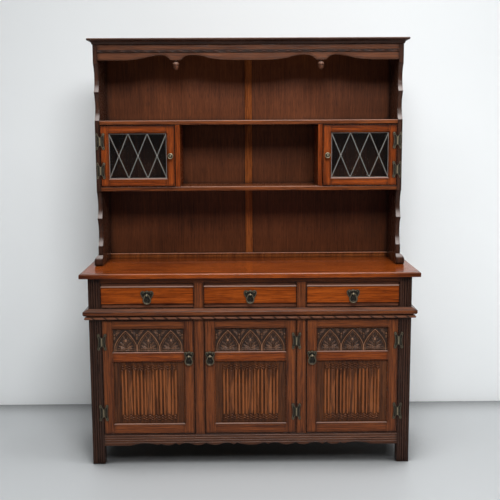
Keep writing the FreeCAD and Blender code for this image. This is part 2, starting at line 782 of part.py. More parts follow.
def arch_panel(name, left, right, low, high):
    """A panel with a row of pointed arches standing proud of it."""
    lap = s.rebate - s.panel_play
    body = doc.addObject("PartDesign::Body", name)
    width = right - left
    height = high - low
    ground = rectangle(-lap, -lap, width + lap, height + lap)
    add_pad(body, f"{name}_ground", "XZ_Plane", [ground], s.panel_thickness)
    pitch = (width - s.arch_margin * 2) / ARCH_COUNT
    foot = s.arch_margin
    peak = height - s.arch_margin
    rise = peak - foot
    arches = []
    for number in range(ARCH_COUNT):
        start = s.arch_margin + pitch * number + s.arch_gap / 2
        finish = start + pitch - s.arch_gap
        middle = (start + finish) / 2
        half = (finish - start) / 2
        arches.append([
            (start + s.arch_rib, foot),
            (middle, peak - s.arch_rib * 1.4, middle - half * 0.62 + s.arch_rib, foot + rise * 0.52),
            (finish - s.arch_rib, foot, middle + half * 0.62 - s.arch_rib, foot + rise * 0.52),
            (finish, foot),
            (middle, peak, middle + half * 0.66, foot + rise * 0.58),
            (start, foot, middle - half * 0.66, foot + rise * 0.58),
        ])
    add_pad(body, f"{name}_arches", "XZ_Plane", arches, s.panel_thickness + s.arch_relief)
    bind_place(body, left, face + s.panel_setback + s.panel_thickness, low)
    return body


FOLD_COUNT = 7


def linenfold_panel(name, left, right, low, high):
    """A panel carved as hanging folds: upright ribs with hollows between them."""
    lap = s.rebate - s.panel_play
    body = doc.addObject("PartDesign::Body", name)
    width = right - left
    height = high - low
    ground = rectangle(-lap, -lap, width + lap, height + lap)
    add_pad(body, f"{name}_ground", "XZ_Plane", [ground], s.panel_thickness)
    start = s.linen_side_margin
    pitch = (width - start * 2) / FOLD_COUNT
    skin = -s.panel_thickness
    crest = skin - s.linen_relief
    loop = [(width - start, skin / 2), (start, skin / 2), (start, skin)]
    for fold in range(FOLD_COUNT):
        edge = start + pitch * fold
        loop.append((edge + pitch * 0.62, skin - s.linen_crease, edge + pitch * 0.31, crest))
        loop.append((edge + pitch, skin, edge + pitch * 0.81, skin - s.linen_relief * 0.4))
    folds_height = height - s.linen_end_margin * 2
    add_pad(body, f"{name}_folds", "XY_Plane", [loop], folds_height, s.linen_end_margin.value)
    bind_place(body, left, face + s.panel_setback + s.panel_thickness, low)
    return body


DOOR_HANDS = {"left": 1, "centre": -1, "right": -1}


def panelled_door(side):
    """A cupboard door. Its hand is 1 when the hinges are on its left edge and -1 when on its right."""
    name = f"door_{side}"
    hand = DOOR_HANDS[side]
    left, right = OPENINGS[side]
    x_low, x_high = left + s.door_gap, right - s.door_gap
    z_low, z_high = floor_top + s.door_gap, waist_under - s.door_gap
    x_in_low, x_in_high = x_low + s.stile_width, x_high - s.stile_width
    arch_high = z_high - s.door_top_rail
    arch_low = arch_high - s.arch_opening
    linen_high = arch_low - s.door_mid_rail
    linen_low = z_low + s.door_bottom_rail
    members = [
        (x_low, x_in_low, z_low, z_high),
        (x_in_high, x_high, z_low, z_high),
        (x_in_low, x_in_high, arch_high, z_high),
        (x_in_low, x_in_high, linen_high, arch_low),
        (x_in_low, x_in_high, z_low, linen_low),
    ]
    openings = [(x_in_low, x_in_high, arch_low, arch_high), (x_in_low, x_in_high, linen_low, linen_high)]
    panel_front = face + s.panel_setback
    frame = framed(name, members, openings, face, face + s.door_thickness, panel_front)
    sub_part(f"{name}_frame", frame)
    sub_part(f"{name}_arch_panel", arch_panel(f"{name}_arch_panel", *openings[0]))
    sub_part(f"{name}_linenfold_panel", linenfold_panel(f"{name}_linenfold_panel", *openings[1]))

    pin_x = left + s.door_gap / 2 if hand > 0 else right - s.door_gap / 2
    fixed, turning = [], []
    for words, z in (("low", z_low + s.hinge_inset), ("high", z_high - s.hinge_inset)):
        frame_leaf, pin, door_leaf = hinge(f"{name}_hinge_{words}", pin_x, face, z, hand)
        fixed += [frame_leaf, pin]
        turning.append(door_leaf)
    pull_x = x_in_high + s.stile_width / 2 if hand > 0 else x_low + s.stile_width / 2
    pull_z = (linen_high + arch_low) / 2 + s.pull_rise
    plate = heart_loop(s.door_plate_width, s.door_plate_height)
    plate_piece = pull_plate(f"{name}_pull_plate", pull_x, face, pull_z, plate)
    sub_part(f"{name}_fittings", turning + [plate_piece])
    sub_part(f"{name}_pull_ring", drop_ring(f"{name}_pull_ring", pull_x, face, pull_z))
    return fixed


# Plate rack

# Length of one scallop of the side boards, as a share of its bay: the lower bay is counted above the feet
LOWER_SCALLOP = 0.4275
UPPER_SCALLOP = 0.3746


def rack_sides():
    """Side boards with two scallops above and below the glazed cupboards, standing on the feet."""
    nose = s.side_scallop_depth / 6
    deep = rack_face + s.side_scallop_depth
    lower = (s.lower_bay - s.foot_height) * LOWER_SCALLOP
    upper = s.upper_bay * UPPER_SCALLOP
    loop = [(back, foot_top), (rack_face, foot_top)]
    for start, length in ((lower_shelf_under - lower * 2, lower), (upper_shelf_top, upper)):
        cusp = start + length
        loop += [
            (rack_face, start),
            (rack_face + nose, cusp - nose, deep, start + length / 2),
            (rack_face + nose, cusp + nose, rack_face + nose / 3, cusp),
            (rack_face, start + length * 2, deep, cusp + length / 2),
        ]
    loop += [(rack_face, rack_under_top), (back, rack_under_top)]
    pieces = []
    for side, x in (("left", -rack_end), ("right", rack_inner)):
        pieces.append(padded(f"rack_side_{side}", "YZ_Plane", [loop], s.rack_side_thickness, x))
    sub_part("rack_sides", pieces)


def rack_feet():
    """Feet under the side boards, rounded over at the front and the outer side."""
    out = s.foot_projection
    front = rack_face - out
    rise = s.foot_height
    side_view = [
        (back, 0),
        (front + out * 0.2, 0),
        (front, rise * 0.14),
        (front, rise * 0.4),
        (rack_face, rise, front + out * 0.25, rise * 0.78),
        (back, rise),
    ]
    pieces = []
    for side, hand in (("left", -1), ("right", 1)):
        outer = (rack_end + out) * hand
        shoulder = rack_end * hand
        front_view = [
            (rack_inner * hand, 0),
            (outer - out * (0.2 * hand), 0),
            (outer, rise * 0.14),
            (outer, rise * 0.4),
            (shoulder, rise, outer - out * (0.25 * hand), rise * 0.78),
            (rack_inner * hand, rise),
        ]
        start = -rack_end - out if hand < 0 else rack_inner
        depth, width = s.rack_depth + out, s.rack_side_thickness + out
        along = padded(f"foot_{side}_along", "XZ_Plane", [front_view], depth, 0, back, s.board_top)
        across = padded(f"foot_{side}_across", "YZ_Plane", [side_view], width, start, 0, s.board_top)
        foot = doc.addObject("Part::Common", f"rack_foot_{side}")
        foot.Base = along
        foot.Tool = across
        pieces.append(foot)
    sub_part("rack_feet", pieces)


def rack_head():
    """The top board that ties the side boards, with the cornice round it."""
    far_corner = (rack_end, back, rack_under_top + s.rack_top_thickness)
    sub_part("rack_top_board", box("rack_top_board", (-rack_end, rack_face, rack_under_top), far_corner))
    out, low, high = s.cornice_projection, rack_under_top, rack_top
    rise = s.cornice_height
    profile = [
        (0, low),
        (out * 0.12, low),
        (out * 0.18, low + rise * 0.16),
        (out * 0.75, low + rise * 0.6, out * 0.36, low + rise * 0.44),
        (out * 0.84, low + rise * 0.6),
        (out, low + rise * 0.82, out * 0.96, low + rise * 0.68),
        (out * 0.94, high, out, low + rise * 0.92),
        (0, high),
    ]
    sub_part("cornice", wrapped("cornice", rack_end, rack_face, back, profile))


# Lower edge of the frieze from its left end to the middle: distance from the middle as a share of
# half the frieze, rise as a share of the arched cuts, and the same for an arc's middle point
VALANCE_EDGE = [
    (-0.85, 0.0),
    (-0.70, 0.38, -0.775, 0.1),
    (-0.585, 1.0, -0.64, 0.82),
    (-0.523, 0.25, -0.548, 0.82),
    (-0.507, 0.0, -0.519, 0.07),
    (-0.458, 0.0),
    (-0.442, 0.25, -0.446, 0.07),
    (-0.372, 1.0, -0.414, 0.82),
    (-0.26, 0.4, -0.315, 0.86),
    (-0.09, 0.0, -0.18, 0.1),
]


def frieze():
    """The board under the cornice: a shaped lower edge, an applied carved strip and turned pendants."""
    low = rack_under_top - s.frieze_height

    def edge_point(share, rise):
        return rack_inner * share, low + s.valance_rise * rise

    loop = [(-rack_inner, rack_under_top), edge_point(-1, 0)]
    loop += mirrored_edge(VALANCE_EDGE, edge_point)
    loop += [edge_point(1, 0), (rack_inner, rack_under_top)]
    rear = rack_face + s.frieze_setback + s.frieze_thickness
    sub_part("frieze_board", padded("frieze_board", "XZ_Plane", [loop], s.frieze_thickness, 0, rear))

    strip_top = rack_under_top - s.frieze_strip_drop
    strip_low = strip_top - s.frieze_strip_height
    skin = rack_face + s.frieze_setback
    strip = [
        (skin, strip_low),
        (skin, strip_top, skin - s.frieze_strip_thickness, (strip_low + strip_top) / 2),
    ]
    sub_part("frieze_strip", padded("frieze_strip", "YZ_Plane", [strip], rack_inner * 2, -rack_inner))

    radius, length = s.pendant_radius, s.pendant_length
    acorn = [
        (0, 0),
        (radius * 0.6, 0),
        (radius * 0.6, length * -0.08),
        (radius * 0.45, length * -0.2, radius * 0.4, length * -0.13),
        (radius * 0.9, length * -0.3, radius * 0.75, length * -0.22),
        (radius, length * -0.48, radius * 1.02, length * -0.4),
        (radius * 0.86, length * -0.5),
        (radius * 0.2, length * -0.94, radius * 0.72, length * -0.78),
        (0, length * -1.0),
    ]
    x = rack_inner * s.pendant_reach.value
    y = skin + s.frieze_thickness / 2
    pendants = []
    for side, hand in (("left", -1), ("right", 1)):
        pendants.append(turned(f"pendant_{side}", acorn, x * hand, y, low, Rotation()))
    sub_part("pendants", pendants)


def shelves():
    """Two shelves with softened front edges, and the partitions that make the glazed cupboards."""
    front = rack_face + s.shelf_setback
    soft = s.shelf_thickness / 5
    pieces = []
    levels = (("upper", upper_shelf_under, upper_shelf_top), ("lower", lower_shelf_under, lower_shelf_top))
    for words, under, top in levels:
        profile = [
            (rack_back_front, under),
            (front + soft, under),
            (front, under + soft, front + soft * 0.3, under + soft * 0.3),
            (front, top - soft),
            (front + soft, top, front + soft * 0.3, top - soft * 0.3),
            (rack_back_front, top),
        ]
        pieces.append(padded(f"shelf_{words}", "YZ_Plane", [profile], rack_inner * 2, -rack_inner))
    sub_part("rack_shelves", pieces)
    spans = (("left", -partition_outer, -partition_inner), ("right", partition_inner, partition_outer))
    walls = []
    for side, low, high in spans:
        far_corner = (high, rack_back_front, upper_shelf_under)
        walls.append(box(f"partition_{side}", (low, front, lower_shelf_top), far_corner))
    sub_part("rack_partitions", walls)


def rack_back():
    """Two back panels that meet behind a muntin, and the beaded rail along their foot."""
    panels = []
    far = rack_back_front + s.rack_back_thickness
    for side, low, high in (("left", -rack_inner, 0), ("right", 0, rack_inner)):
        low_corner = (low, rack_back_front, s.board_top)
        panels.append(box(f"back_panel_{side}", low_corner, (high, far, rack_under_top)))
    sub_part("rack_back_panels", panels)
    half = s.back_muntin_width / 2
    near = rack_back_front - s.back_muntin_thickness
    rail_top = s.board_top + s.back_rail_height
    rail_front = rack_back_front - s.back_rail_thickness
    bead = s.back_rail_thickness / 2
    profile = [
        (rack_back_front, s.board_top),
        (rail_front, s.board_top),
        (rail_front, rail_top - s.back_rail_thickness),
        (rail_front, rail_top, rail_front - bead, rail_top - bead),
        (rack_back_front, rail_top),
    ]
    pieces = [padded("back_rail", "YZ_Plane", [profile], rack_inner * 2, -rack_inner)]
    spans = (
        ("low", rail_top, lower_shelf_under),
        ("middle", lower_shelf_top, upper_shelf_under),
        ("high", upper_shelf_top, rack_under_top),
    )
    for words, under, over in spans:
        pieces.append(box(f"back_muntin_{words}", (-half, near, under), (half, rack_back_front, over)))
    sub_part("rack_back_frame", pieces)


# Glazed doors

def shrink(corners, margin):
    """A convex outline drawn in by a margin along every side."""
    inside = []
    for before, corner, after in zip([corners[-1]] + corners, corners, corners[1:] + corners[:1]):
        ahead = (Vector(*after) - Vector(*corner)).normalize()
        behind = (Vector(*before) - Vector(*corner)).normalize()
        bisector = (ahead + behind).normalize()
        half_angle = ahead.getAngle(bisector)
        point = Vector(*corner) + bisector * (margin / math.sin(half_angle))
        inside.append((point.x, point.y))
    return inside


DIAMOND_COUNT = 3


def lead_net(name, width, height, x, y, z):
    """Lead cames that cross in a row of diamonds, inside a border came."""
    margin = s.came_width.value / 2
    across, up = width.value, height.value
    pitch = across / DIAMOND_COUNT
    middle = up / 2
    panes = [
        [(0, 0), (pitch / 2, middle), (0, up)],
        [(across, 0), (across, up), (across - pitch / 2, middle)],
    ]
    for number in range(DIAMOND_COUNT):
        start = pitch * number
        panes.append([(start, 0), (start + pitch, 0), (start + pitch / 2, middle)])
        panes.append([(start, up), (start + pitch / 2, middle), (start + pitch, up)])
    for number in range(1, DIAMOND_COUNT):
        centre = pitch * number
        sides = [(centre + pitch / 2, middle), (centre - pitch / 2, middle)]
        panes.append([(centre, 0), sides[0], (centre, up), sides[1]])
    loops = [rectangle(0, 0, across, up)] + [shrink(pane, margin) for pane in panes]
    return padded(name, "XZ_Plane", loops, s.came_thickness, x, y, z)


def knob(name, x, y, z):
    """A turned knob that points to the front."""
    radius, length = s.knob_radius, s.knob_length
    loop = [
        (0, 0),
        (radius * 0.75, 0),
        (radius * 0.7, length * 0.1),
        (radius * 0.4, length * 0.4, radius * 0.42, length * 0.2),
        (radius, length * 0.68, radius * 0.86, length * 0.47),
        (radius * 0.4, length * 0.97, radius * 0.86, length * 0.88),
        (0, length),
    ]
    return turned(name, loop, x, y, z, Rotation(Vector(1, 0, 0), 90))


def glazed_door(side):
    """A small door with a leaded pane, hinged on the rack's side board."""
    name = f"glazed_door_{side}"
    hand = 1 if side == "left" else -1
    left, right = (-rack_inner, -partition_outer) if side == "left" else (partition_outer, rack_inner)
    x_low, x_high = left + s.door_gap, right - s.door_gap
    z_low, z_high = lower_shelf_top + s.door_gap, upper_shelf_under - s.door_gap
    glass = (x_low + s.glazed_stile, x_high - s.glazed_stile, z_low + s.glazed_rail, z_high - s.glazed_rail)
    members = [
        (x_low, glass[0], z_low, z_high),
        (glass[1], x_high, z_low, z_high),
        (glass[0], glass[1], z_low, glass[2]),
        (glass[0], glass[1], glass[3], z_high),
    ]
    glass_front = rack_face + s.glass_setback
    frame = framed(name, members, [glass], rack_face, rack_face + s.glazed_thickness, glass_front)
    sub_part(f"{name}_frame", frame)
    lap = s.rebate - s.panel_play
    low_corner = (glass[0] - lap, glass_front, glass[2] - lap)
    high_corner = (glass[1] + lap, glass_front + s.glass_thickness, glass[3] + lap)
    sub_part(f"{name}_glass", box(f"{name}_glass", low_corner, high_corner))
    width, height = glass[1] - glass[0], glass[3] - glass[2]
    net = lead_net(f"{name}_lead", width, height, glass[0], glass_front, glass[2])
    sub_part(f"{name}_lead", net)
    knob_x = glass[1] + s.glazed_stile / 2 if hand > 0 else x_low + s.glazed_stile / 2
    sub_part(f"{name}_knob", knob(f"{name}_knob", knob_x, rack_face, (z_low + z_high) / 2))

    pin_x = left + s.door_gap / 2 if hand > 0 else right - s.door_gap / 2
    fixed, turning = [], []
    for words, z in (("low", z_low + s.glazed_hinge_inset), ("high", z_high - s.glazed_hinge_inset)):
        frame_leaf, pin, door_leaf = hinge(f"{name}_hinge_{words}", pin_x, rack_face, z, hand)
        fixed += [frame_leaf, pin]
        turning.append(door_leaf)
    sub_part(f"{name}_hinge_leaves", turning)
    return fixed


def build():
    top_board()
    posts()
    front_frame()
    bottom_rail()
    base_ends()
    base_rear()
    cupboard_floor()
    drawer_runners()
    waist_mouldings()
    base_hinges = []
    for side in OPENINGS:
        drawer(side)
        base_hinges += panelled_door(side)
    sub_part("base_hinges", base_hinges)
    rack_sides()
    rack_feet()
    rack_head()
    frieze()
    shelves()
    rack_back()
    rack_hinges = []
    for side in ("left", "right"):
        rack_hinges += glazed_door(side)
    sub_part("rack_hinges", rack_hinges)


def write_parts():
    """Writes every sub-part, after testing that the whole document came out sound."""
    doc.recompute()
    for piece in doc.Objects:
        if "Invalid" in piece.State or "Error" in piece.State:
            raise RuntimeError(f"{piece.Label} failed: {piece.State}")
    for label, piece in sub_parts.items():
        if piece.Shape.isNull() or not piece.Shape.isValid():
            raise RuntimeError(f"{label} has no sound shape")
    os.makedirs("parts", exist_ok=True)
    for label, piece in sub_parts.items():
        piece.Shape.exportStep(f"parts/{label}.step")
    print(len(sub_parts), "sub-parts written")


build()
write_parts()
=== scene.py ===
import cmath
import math

import bpy
from bpy.props import FloatProperty, FloatVectorProperty, PointerProperty
from bpy.types import Operator, Panel, PropertyGroup
from mathutils import Matrix, Vector, noise


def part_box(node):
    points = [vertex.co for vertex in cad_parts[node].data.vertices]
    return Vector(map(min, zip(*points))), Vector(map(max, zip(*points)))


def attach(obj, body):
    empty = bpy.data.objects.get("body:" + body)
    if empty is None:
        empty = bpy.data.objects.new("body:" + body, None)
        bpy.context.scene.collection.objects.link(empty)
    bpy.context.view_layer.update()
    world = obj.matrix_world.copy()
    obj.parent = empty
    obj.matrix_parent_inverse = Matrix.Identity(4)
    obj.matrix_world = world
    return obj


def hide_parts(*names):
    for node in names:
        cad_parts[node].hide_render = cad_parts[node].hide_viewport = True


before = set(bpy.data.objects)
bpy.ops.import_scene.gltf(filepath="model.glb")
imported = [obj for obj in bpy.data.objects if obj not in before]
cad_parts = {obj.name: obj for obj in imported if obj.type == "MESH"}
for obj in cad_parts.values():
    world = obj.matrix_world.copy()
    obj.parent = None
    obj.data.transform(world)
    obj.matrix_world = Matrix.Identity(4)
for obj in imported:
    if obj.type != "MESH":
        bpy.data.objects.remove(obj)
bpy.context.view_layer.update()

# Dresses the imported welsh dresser: carved oak, leaded glass and aged brass on the CAD frame.
# Lengths are in metres, apart from those of the carving. -Y is the front of the dresser and Z is up.

bl_info = {
    "name": "Welsh Dresser Looks",
    "version": (1, 0, 0),
    "blender": (4, 5, 0),
    "location": "3D View > Sidebar > Dresser",
    "description": "Carved oak, leaded glass and aged brass for the packed welsh dresser",
    "category": "Object",
}

SIDES = ("left", "centre", "right")
GLAZED_SIDES = ("left", "right")
MM = 0.001
PANEL_LAP = 5.6 * MM


# Settings

def length(name, description, default):
    return FloatProperty(name=name, description=description, default=default, unit="LENGTH", precision=4)


def angle(name, description, default):
    return FloatProperty(name=name, description=description, default=default, unit="ROTATION")


def factor(name, description, default):
    return FloatProperty(name=name, description=description, default=default)


def colour(name, description, default):
    return FloatVectorProperty(name=name, description=description, default=default, subtype="COLOR",
                               size=3, min=0.0, max=1.0)


def light_grain(wood, where, default):
    return colour(f"{wood}, light", f"Light grain of the {where}", default)


def dark_grain(wood, where, default):
    return colour(f"{wood}, dark", f"Dark grain of the {where}", default)


class CarvingSettings(PropertyGroup):
    grid: length("Carving grid", "Spacing of the points over a carved face", 1.25 * MM)
    panel_thickness: length("Panel thickness", "Thickness of a door panel under its carving", 8 * MM)
    panel_lap: length("Panel lap", "Edge of a door panel that is hidden in its frame", PANEL_LAP)
    rope_pitch: length("Waist strip pitch", "Length of one slanted segment of the waist strip", 50 * MM)
    leaf_pitch: length("Frieze strip pitch", "Length of one gouged leaf of the frieze strip", 50 * MM)


class FinishSettings(PropertyGroup):
    bright_light: light_grain("Bright oak", "drawers and top board", (0.395, 0.082, 0.010))
    bright_dark: dark_grain("Bright oak", "drawers and top board", (0.118, 0.019, 0.0035))
    warm_light: light_grain("Warm oak", "door frames, shelves and waist moulding", (0.258, 0.071, 0.0195))
    warm_dark: dark_grain("Warm oak", "door frames, shelves and waist moulding", (0.060, 0.017, 0.008))
    brown_light: light_grain("Brown oak", "frieze, base ends and bottom rail", (0.165, 0.062, 0.031))
    brown_dark: dark_grain("Brown oak", "frieze, base ends and bottom rail", (0.045, 0.017, 0.010))
    honey_light: light_grain("Honey oak", "muntin in the rack's back", (0.44, 0.125, 0.028))
    honey_dark: dark_grain("Honey oak", "muntin in the rack's back", (0.14, 0.034, 0.009))
    umber_light: light_grain("Umber oak", "flat bands of the drawers", (0.30, 0.110, 0.057))
    umber_dark: dark_grain("Umber oak", "flat bands of the drawers", (0.090, 0.033, 0.019))
    russet_light: light_grain("Russet oak", "glazed doors and partitions", (0.315, 0.064, 0.0115))
    russet_dark: dark_grain("Russet oak", "glazed doors and partitions", (0.070, 0.0125, 0.0035))
    deep_light: light_grain("Deep oak", "rack's back", (0.215, 0.062, 0.020))
    deep_dark: dark_grain("Deep oak", "rack's back", (0.052, 0.016, 0.007))
    # The dark oak also tints the rims; on the top board and the glazed doors that rim is painted shadow.
    dusk_light: light_grain("Dark oak", "posts, cornice and rack sides", (0.090, 0.038, 0.023))
    dusk_dark: dark_grain("Dark oak", "posts, cornice and rack sides", (0.022, 0.010, 0.007))
    carved_light: light_grain("Carved oak", "carved arches", (0.27, 0.130, 0.070))
    carved_dark: dark_grain("Carved oak", "carved arches", (0.090, 0.038, 0.021))
    linen_light: light_grain("Linenfold oak", "linenfold panels", (0.262, 0.083, 0.026))
    linen_dark: dark_grain("Linenfold oak", "linenfold panels", (0.062, 0.021, 0.010))
    plain_light: light_grain("Bare oak", "unstained inside wood", (0.36, 0.22, 0.12))
    plain_dark: dark_grain("Bare oak", "unstained inside wood", (0.20, 0.115, 0.06))
    # The stain is also used for painted shade: in occluded hollows and on the back behind the lower shelves.
    stain: colour("Stain", "Dark stain that stays in hollows and joints", (0.008, 0.004, 0.003))
    brass: colour("Brass", "Rubbed brass of the rings, borders and buttons", (0.135, 0.110, 0.070))
    brass_dark: colour("Aged brass", "Aged brass of the plates, hinges and knobs", (0.024, 0.020, 0.014))
    # Also used as painted shade on the flanks of the lead cames.
    grime_and_shade: colour("Grime", "Black left in the hollows of the fittings", (0.014, 0.014, 0.011))
    lead: colour("Lead", "Lead cames", (0.215, 0.195, 0.172))
    # Painted highlights on faces that lean upwards: a pale one on most oak, a grey one on the rack's sides
    # and feet.
    upward_highlight: colour("Polish", "Pale wear on edges that face upwards", (0.40, 0.25, 0.19))
    grey_highlight: colour("Bloom", "Grey wear on the scallops and feet of the rack's sides", (0.25, 0.21, 0.197))


class StageSettings(PropertyGroup):
    lens: FloatProperty(name="Lens", description="Focal length of the camera", default=61.05, unit="CAMERA")
    camera_place: FloatVectorProperty(name="Camera place", description="Where the camera stands",
                                      default=(-0.0318, -3.643, 1.4038), subtype="XYZ", unit="LENGTH")
    camera_yaw: angle("Camera yaw", "Turn of the camera to the right", 0.0093)
    camera_pitch: angle("Camera pitch", "Tilt of the camera towards the floor", 0.1419)
    camera_roll: angle("Camera roll", "Roll of the camera about its line of sight", -0.0052)
    floor_colour: colour("Floor", "Colour of the floor", (0.56, 0.58, 0.592))
    wall_colour: colour("Wall", "Colour of the backdrop", (0.93, 0.955, 0.965))
    wall_glow: factor("Wall glow", "Light that the backdrop gives of its own", 0.05)
    room_front: colour("Room in front", "Light from the front of the dresser", (0.06, 0.062, 0.064))
    room_behind: colour("Room behind", "Light from behind the dresser", (0.42, 0.44, 0.45))
    key_power: factor("Key light", "Power of the soft light above the camera, in watts", 108.0)
    side_power: factor("Side light", "Power of the soft light at the right, in watts", 14.0)
    top_power: factor("Top light", "Power of the soft light overhead, in watts", 50.0)


def settings(group):
    return getattr(bpy.context.scene, group)


# Shader maths

class Field:
    """A socket of a material, on which Python's operators add Math nodes."""

    def __init__(self, paint, socket):
        self.paint = paint
        self.socket = socket

    def maths(self, operation, *terms):
        return self.paint.add("ShaderNodeMath", {"operation": operation}, dict(enumerate(terms)))

    def __add__(self, other):
        return self.maths("ADD", self, other)

    def __radd__(self, other):
        return self.maths("ADD", other, self)

    def __sub__(self, other):
        return self.maths("SUBTRACT", self, other)

    def __rsub__(self, other):
        return self.maths("SUBTRACT", other, self)

    def __mul__(self, other):
        return self.maths("MULTIPLY", self, other)

    def __rmul__(self, other):
        return self.maths("MULTIPLY", other, self)

    def __abs__(self):
        return self.maths("ABSOLUTE", self)

    def sine(self):
        return self.maths("SINE", self)

    def above(self, edge):
        return self.maths("GREATER_THAN", self, edge)

    def below(self, edge):
        return self.maths("LESS_THAN", self, edge)

    def greatest(self, other):
        return self.maths("MAXIMUM", self, other)

    def wrapped(self, low, high):
        return self.maths("WRAP", self, high, low)

    def ramp(self, low, high):
        """0 below low, 1 above high, smooth between them."""
        return self.paint.add("ShaderNodeMapRange", {"interpolation_type": "SMOOTHSTEP"},
                              {"Value": self, "From Min": low, "From Max": high})


class Paint:
    """A material or a world under construction."""

    def __init__(self, name, family="materials"):
        self.owner = getattr(bpy.data, family).new(name)
        self.owner.use_nodes = True
        self.tree = self.owner.node_tree
        self.tree.nodes.clear()

    def add(self, kind, choices=None, inputs=None, output=0):
        """Adds a node: its settings first, then the values or links of its sockets."""
        node = self.tree.nodes.new(kind)
        for key, value in (choices or {}).items():
            setattr(node, key, value)
        for key, value in (inputs or {}).items():
            if isinstance(value, Field):
                self.tree.links.new(value.socket, node.inputs[key])
            else:
                node.inputs[key].default_value = value
        return Field(self, node.outputs[output]) if node.outputs else node

    def place(self):
        """The three coordinates of a point of the piece, in the dresser's frame at rest."""
        spot = self.add("ShaderNodeTexCoord", output="Object")
        return [self.add("ShaderNodeSeparateXYZ", inputs={0: spot}, output=axis) for axis in "XYZ"]

    def mix(self, share, first, second):
        """One colour that turns into another as the share goes from 0 to 1."""
        first, second = (tone if isinstance(tone, Field) else (*tone, 1.0) for tone in (first, second))
        return self.add("ShaderNodeMix", {"data_type": "RGBA", "clamp_factor": True},
                        {0: share, 6: first, 7: second}, output=2)

    def noise(self, x, y, z, detail=2.0, roughness=0.5):
        spot = self.add("ShaderNodeCombineXYZ", inputs={0: x, 1: y, 2: z})
        return self.add("ShaderNodeTexNoise", inputs={
            "Vector": spot, "Scale": 1.0, "Detail": detail, "Roughness": roughness})

    def clouds(self, place, scale, detail):
        """Noise that is as long as it is wide and deep."""
        return self.noise(*(part * scale for part in place), detail)

    def edges(self, radius):
        """The normal with its sharp edges rounded, and a mask of those edges."""
        rounded = self.add("ShaderNodeBevel", {"samples": 4}, {"Radius": radius})
        flat = self.add("ShaderNodeNewGeometry", output="Normal")
        agree = self.add("ShaderNodeVectorMath", {"operation": "DOT_PRODUCT"}, {0: rounded, 1: flat}, 1)
        return rounded, (1.0 - agree).ramp(0.02, 0.25)

    def crevices(self, reach):
        """0 deep in a joint or hollow, 1 in the open."""
        return self.add("ShaderNodeAmbientOcclusion", {"samples": 6}, {"Distance": reach}, output="AO")

    def bump(self, strength, depth, height, **normal):
        return self.add("ShaderNodeBump", inputs={
            "Strength": strength, "Distance": depth, "Height": height, **normal})

    def principled(self, **sockets):
        """A Principled shader. The names of its sockets have _ for each space."""
        named = {key.replace("_", " "): value for key, value in sockets.items()}
        return self.add("ShaderNodeBsdfPrincipled", inputs=named)

    def finish(self, shader, output="ShaderNodeOutputMaterial"):
        self.add(output, inputs={"Surface": shader})
        return self.owner


def shaded(tone, share):
    return [part * share for part in tone]


# Ways that the grain runs: each gives the distance along the grain and across it

def lying(x, y, z):
    return x, y + z


def standing(x, y, z):
    return z, x + y


def wrapping(x, y, z):
    return x + y, z


def turning(upright):
    """Grain that stands where the mask is 1 and lies where it is 0."""
    def run(x, y, z):
        mask = upright(x, z)
        return x + mask * (z - x), y + z + mask * (x - z)
    return run


# Places on the CAD pieces that the finishes follow

def middle_and_half(node, axis):
    """The middle of a node along an axis, and half of its length there."""
    low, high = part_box(node)
    return (low[axis] + high[axis]) / 2, (high[axis] - low[axis]) / 2


DRAWER_GAP = 1.5 * MM
DOOR_GAP = 2 * MM
DOOR_PITCH = middle_and_half("door_centre_frame", 0)[0] - middle_and_half("door_left_frame", 0)[0]
DOOR_INSIDE = middle_and_half("door_centre_arch_panel", 0)[1] - PANEL_LAP
DOOR_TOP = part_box("door_left_frame")[1].z + DOOR_GAP
MIDDLE_RAIL = (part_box("door_left_linenfold_panel")[1].z - PANEL_LAP,
               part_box("door_left_arch_panel")[0].z + PANEL_LAP)
GLAZED_MIDDLE = middle_and_half("glazed_door_right_frame", 0)[0]
GLAZED_INSIDE = middle_and_half("glazed_door_right_glass", 0)[1] - PANEL_LAP
DRAWER_MIDDLE, DRAWER_HALF = middle_and_half("drawer_centre_front", 2)
BASE_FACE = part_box("door_left_frame")[0].y
RACK_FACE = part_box("glazed_door_left_frame")[0].y

# Insets from the edges of the moulded pieces
FIELD_INSET = 17 * MM
FIELD_LINE_INSET = 17.5 * MM
BAND_INSET = 10 * MM
WAIST_LINE_INSET = 9.5 * MM

# The edge that each door hangs from: 1 when its hinges are on its left and -1 when they are on its right
HANDS = {
    "door": {"left": 1, "centre": -1, "right": -1},
    "glazed_door": {"left": 1, "right": -1},
}
HINGE_INSETS = {"door": 92 * MM, "glazed_door": 67 * MM}
HINGE_SOIL = {"door": 0.5, "glazed_door": 0.9}
SOIL_ACROSS = (16 * MM, 25 * MM)
SOIL_UP = (31 * MM, 40 * MM)
BOARD_END = 220 * MM
BOARD_NOSE = (8 * MM, 30 * MM)
EDGE_LINE = (1.0 * MM, 2.8 * MM)
WAIST_LINE = (0.8 * MM, 2.4 * MM)

# Strengths of the masks
RAIL_BRIGHT = 0.65
WAIST_STAIN = 0.7
LOWER_BAY_SHADE = 0.4
BOARD_END_DARKENING = 0.8


# Masks of the grain and of brighter wood, over the front of the dresser

def door_offset(x):
    """Distance from the middle of a cupboard door."""
    return abs(x.wrapped(-DOOR_PITCH / 2, DOOR_PITCH / 2))


def glazed_offset(x):
    """Distance from the middle of a glazed door."""
    return abs(abs(x) - GLAZED_MIDDLE)


def door_stiles(x, z):
    return door_offset(x).above(DOOR_INSIDE)


def glazed_stiles(x, z):
    return glazed_offset(x).above(GLAZED_INSIDE)


def front_uprights(x, z):
    beside_drawers = abs(z - DRAWER_MIDDLE).below(DRAWER_HALF + DRAWER_GAP)
    return beside_drawers + z.below(DOOR_TOP)


def drawer_fields(x, z):
    return abs(z - DRAWER_MIDDLE).below(DRAWER_HALF - FIELD_INSET)


def middle_rails(x, z):
    return z.above(MIDDLE_RAIL[0]) * z.below(MIDDLE_RAIL[1]) * (1.0 - door_stiles(x, z)) * RAIL_BRIGHT
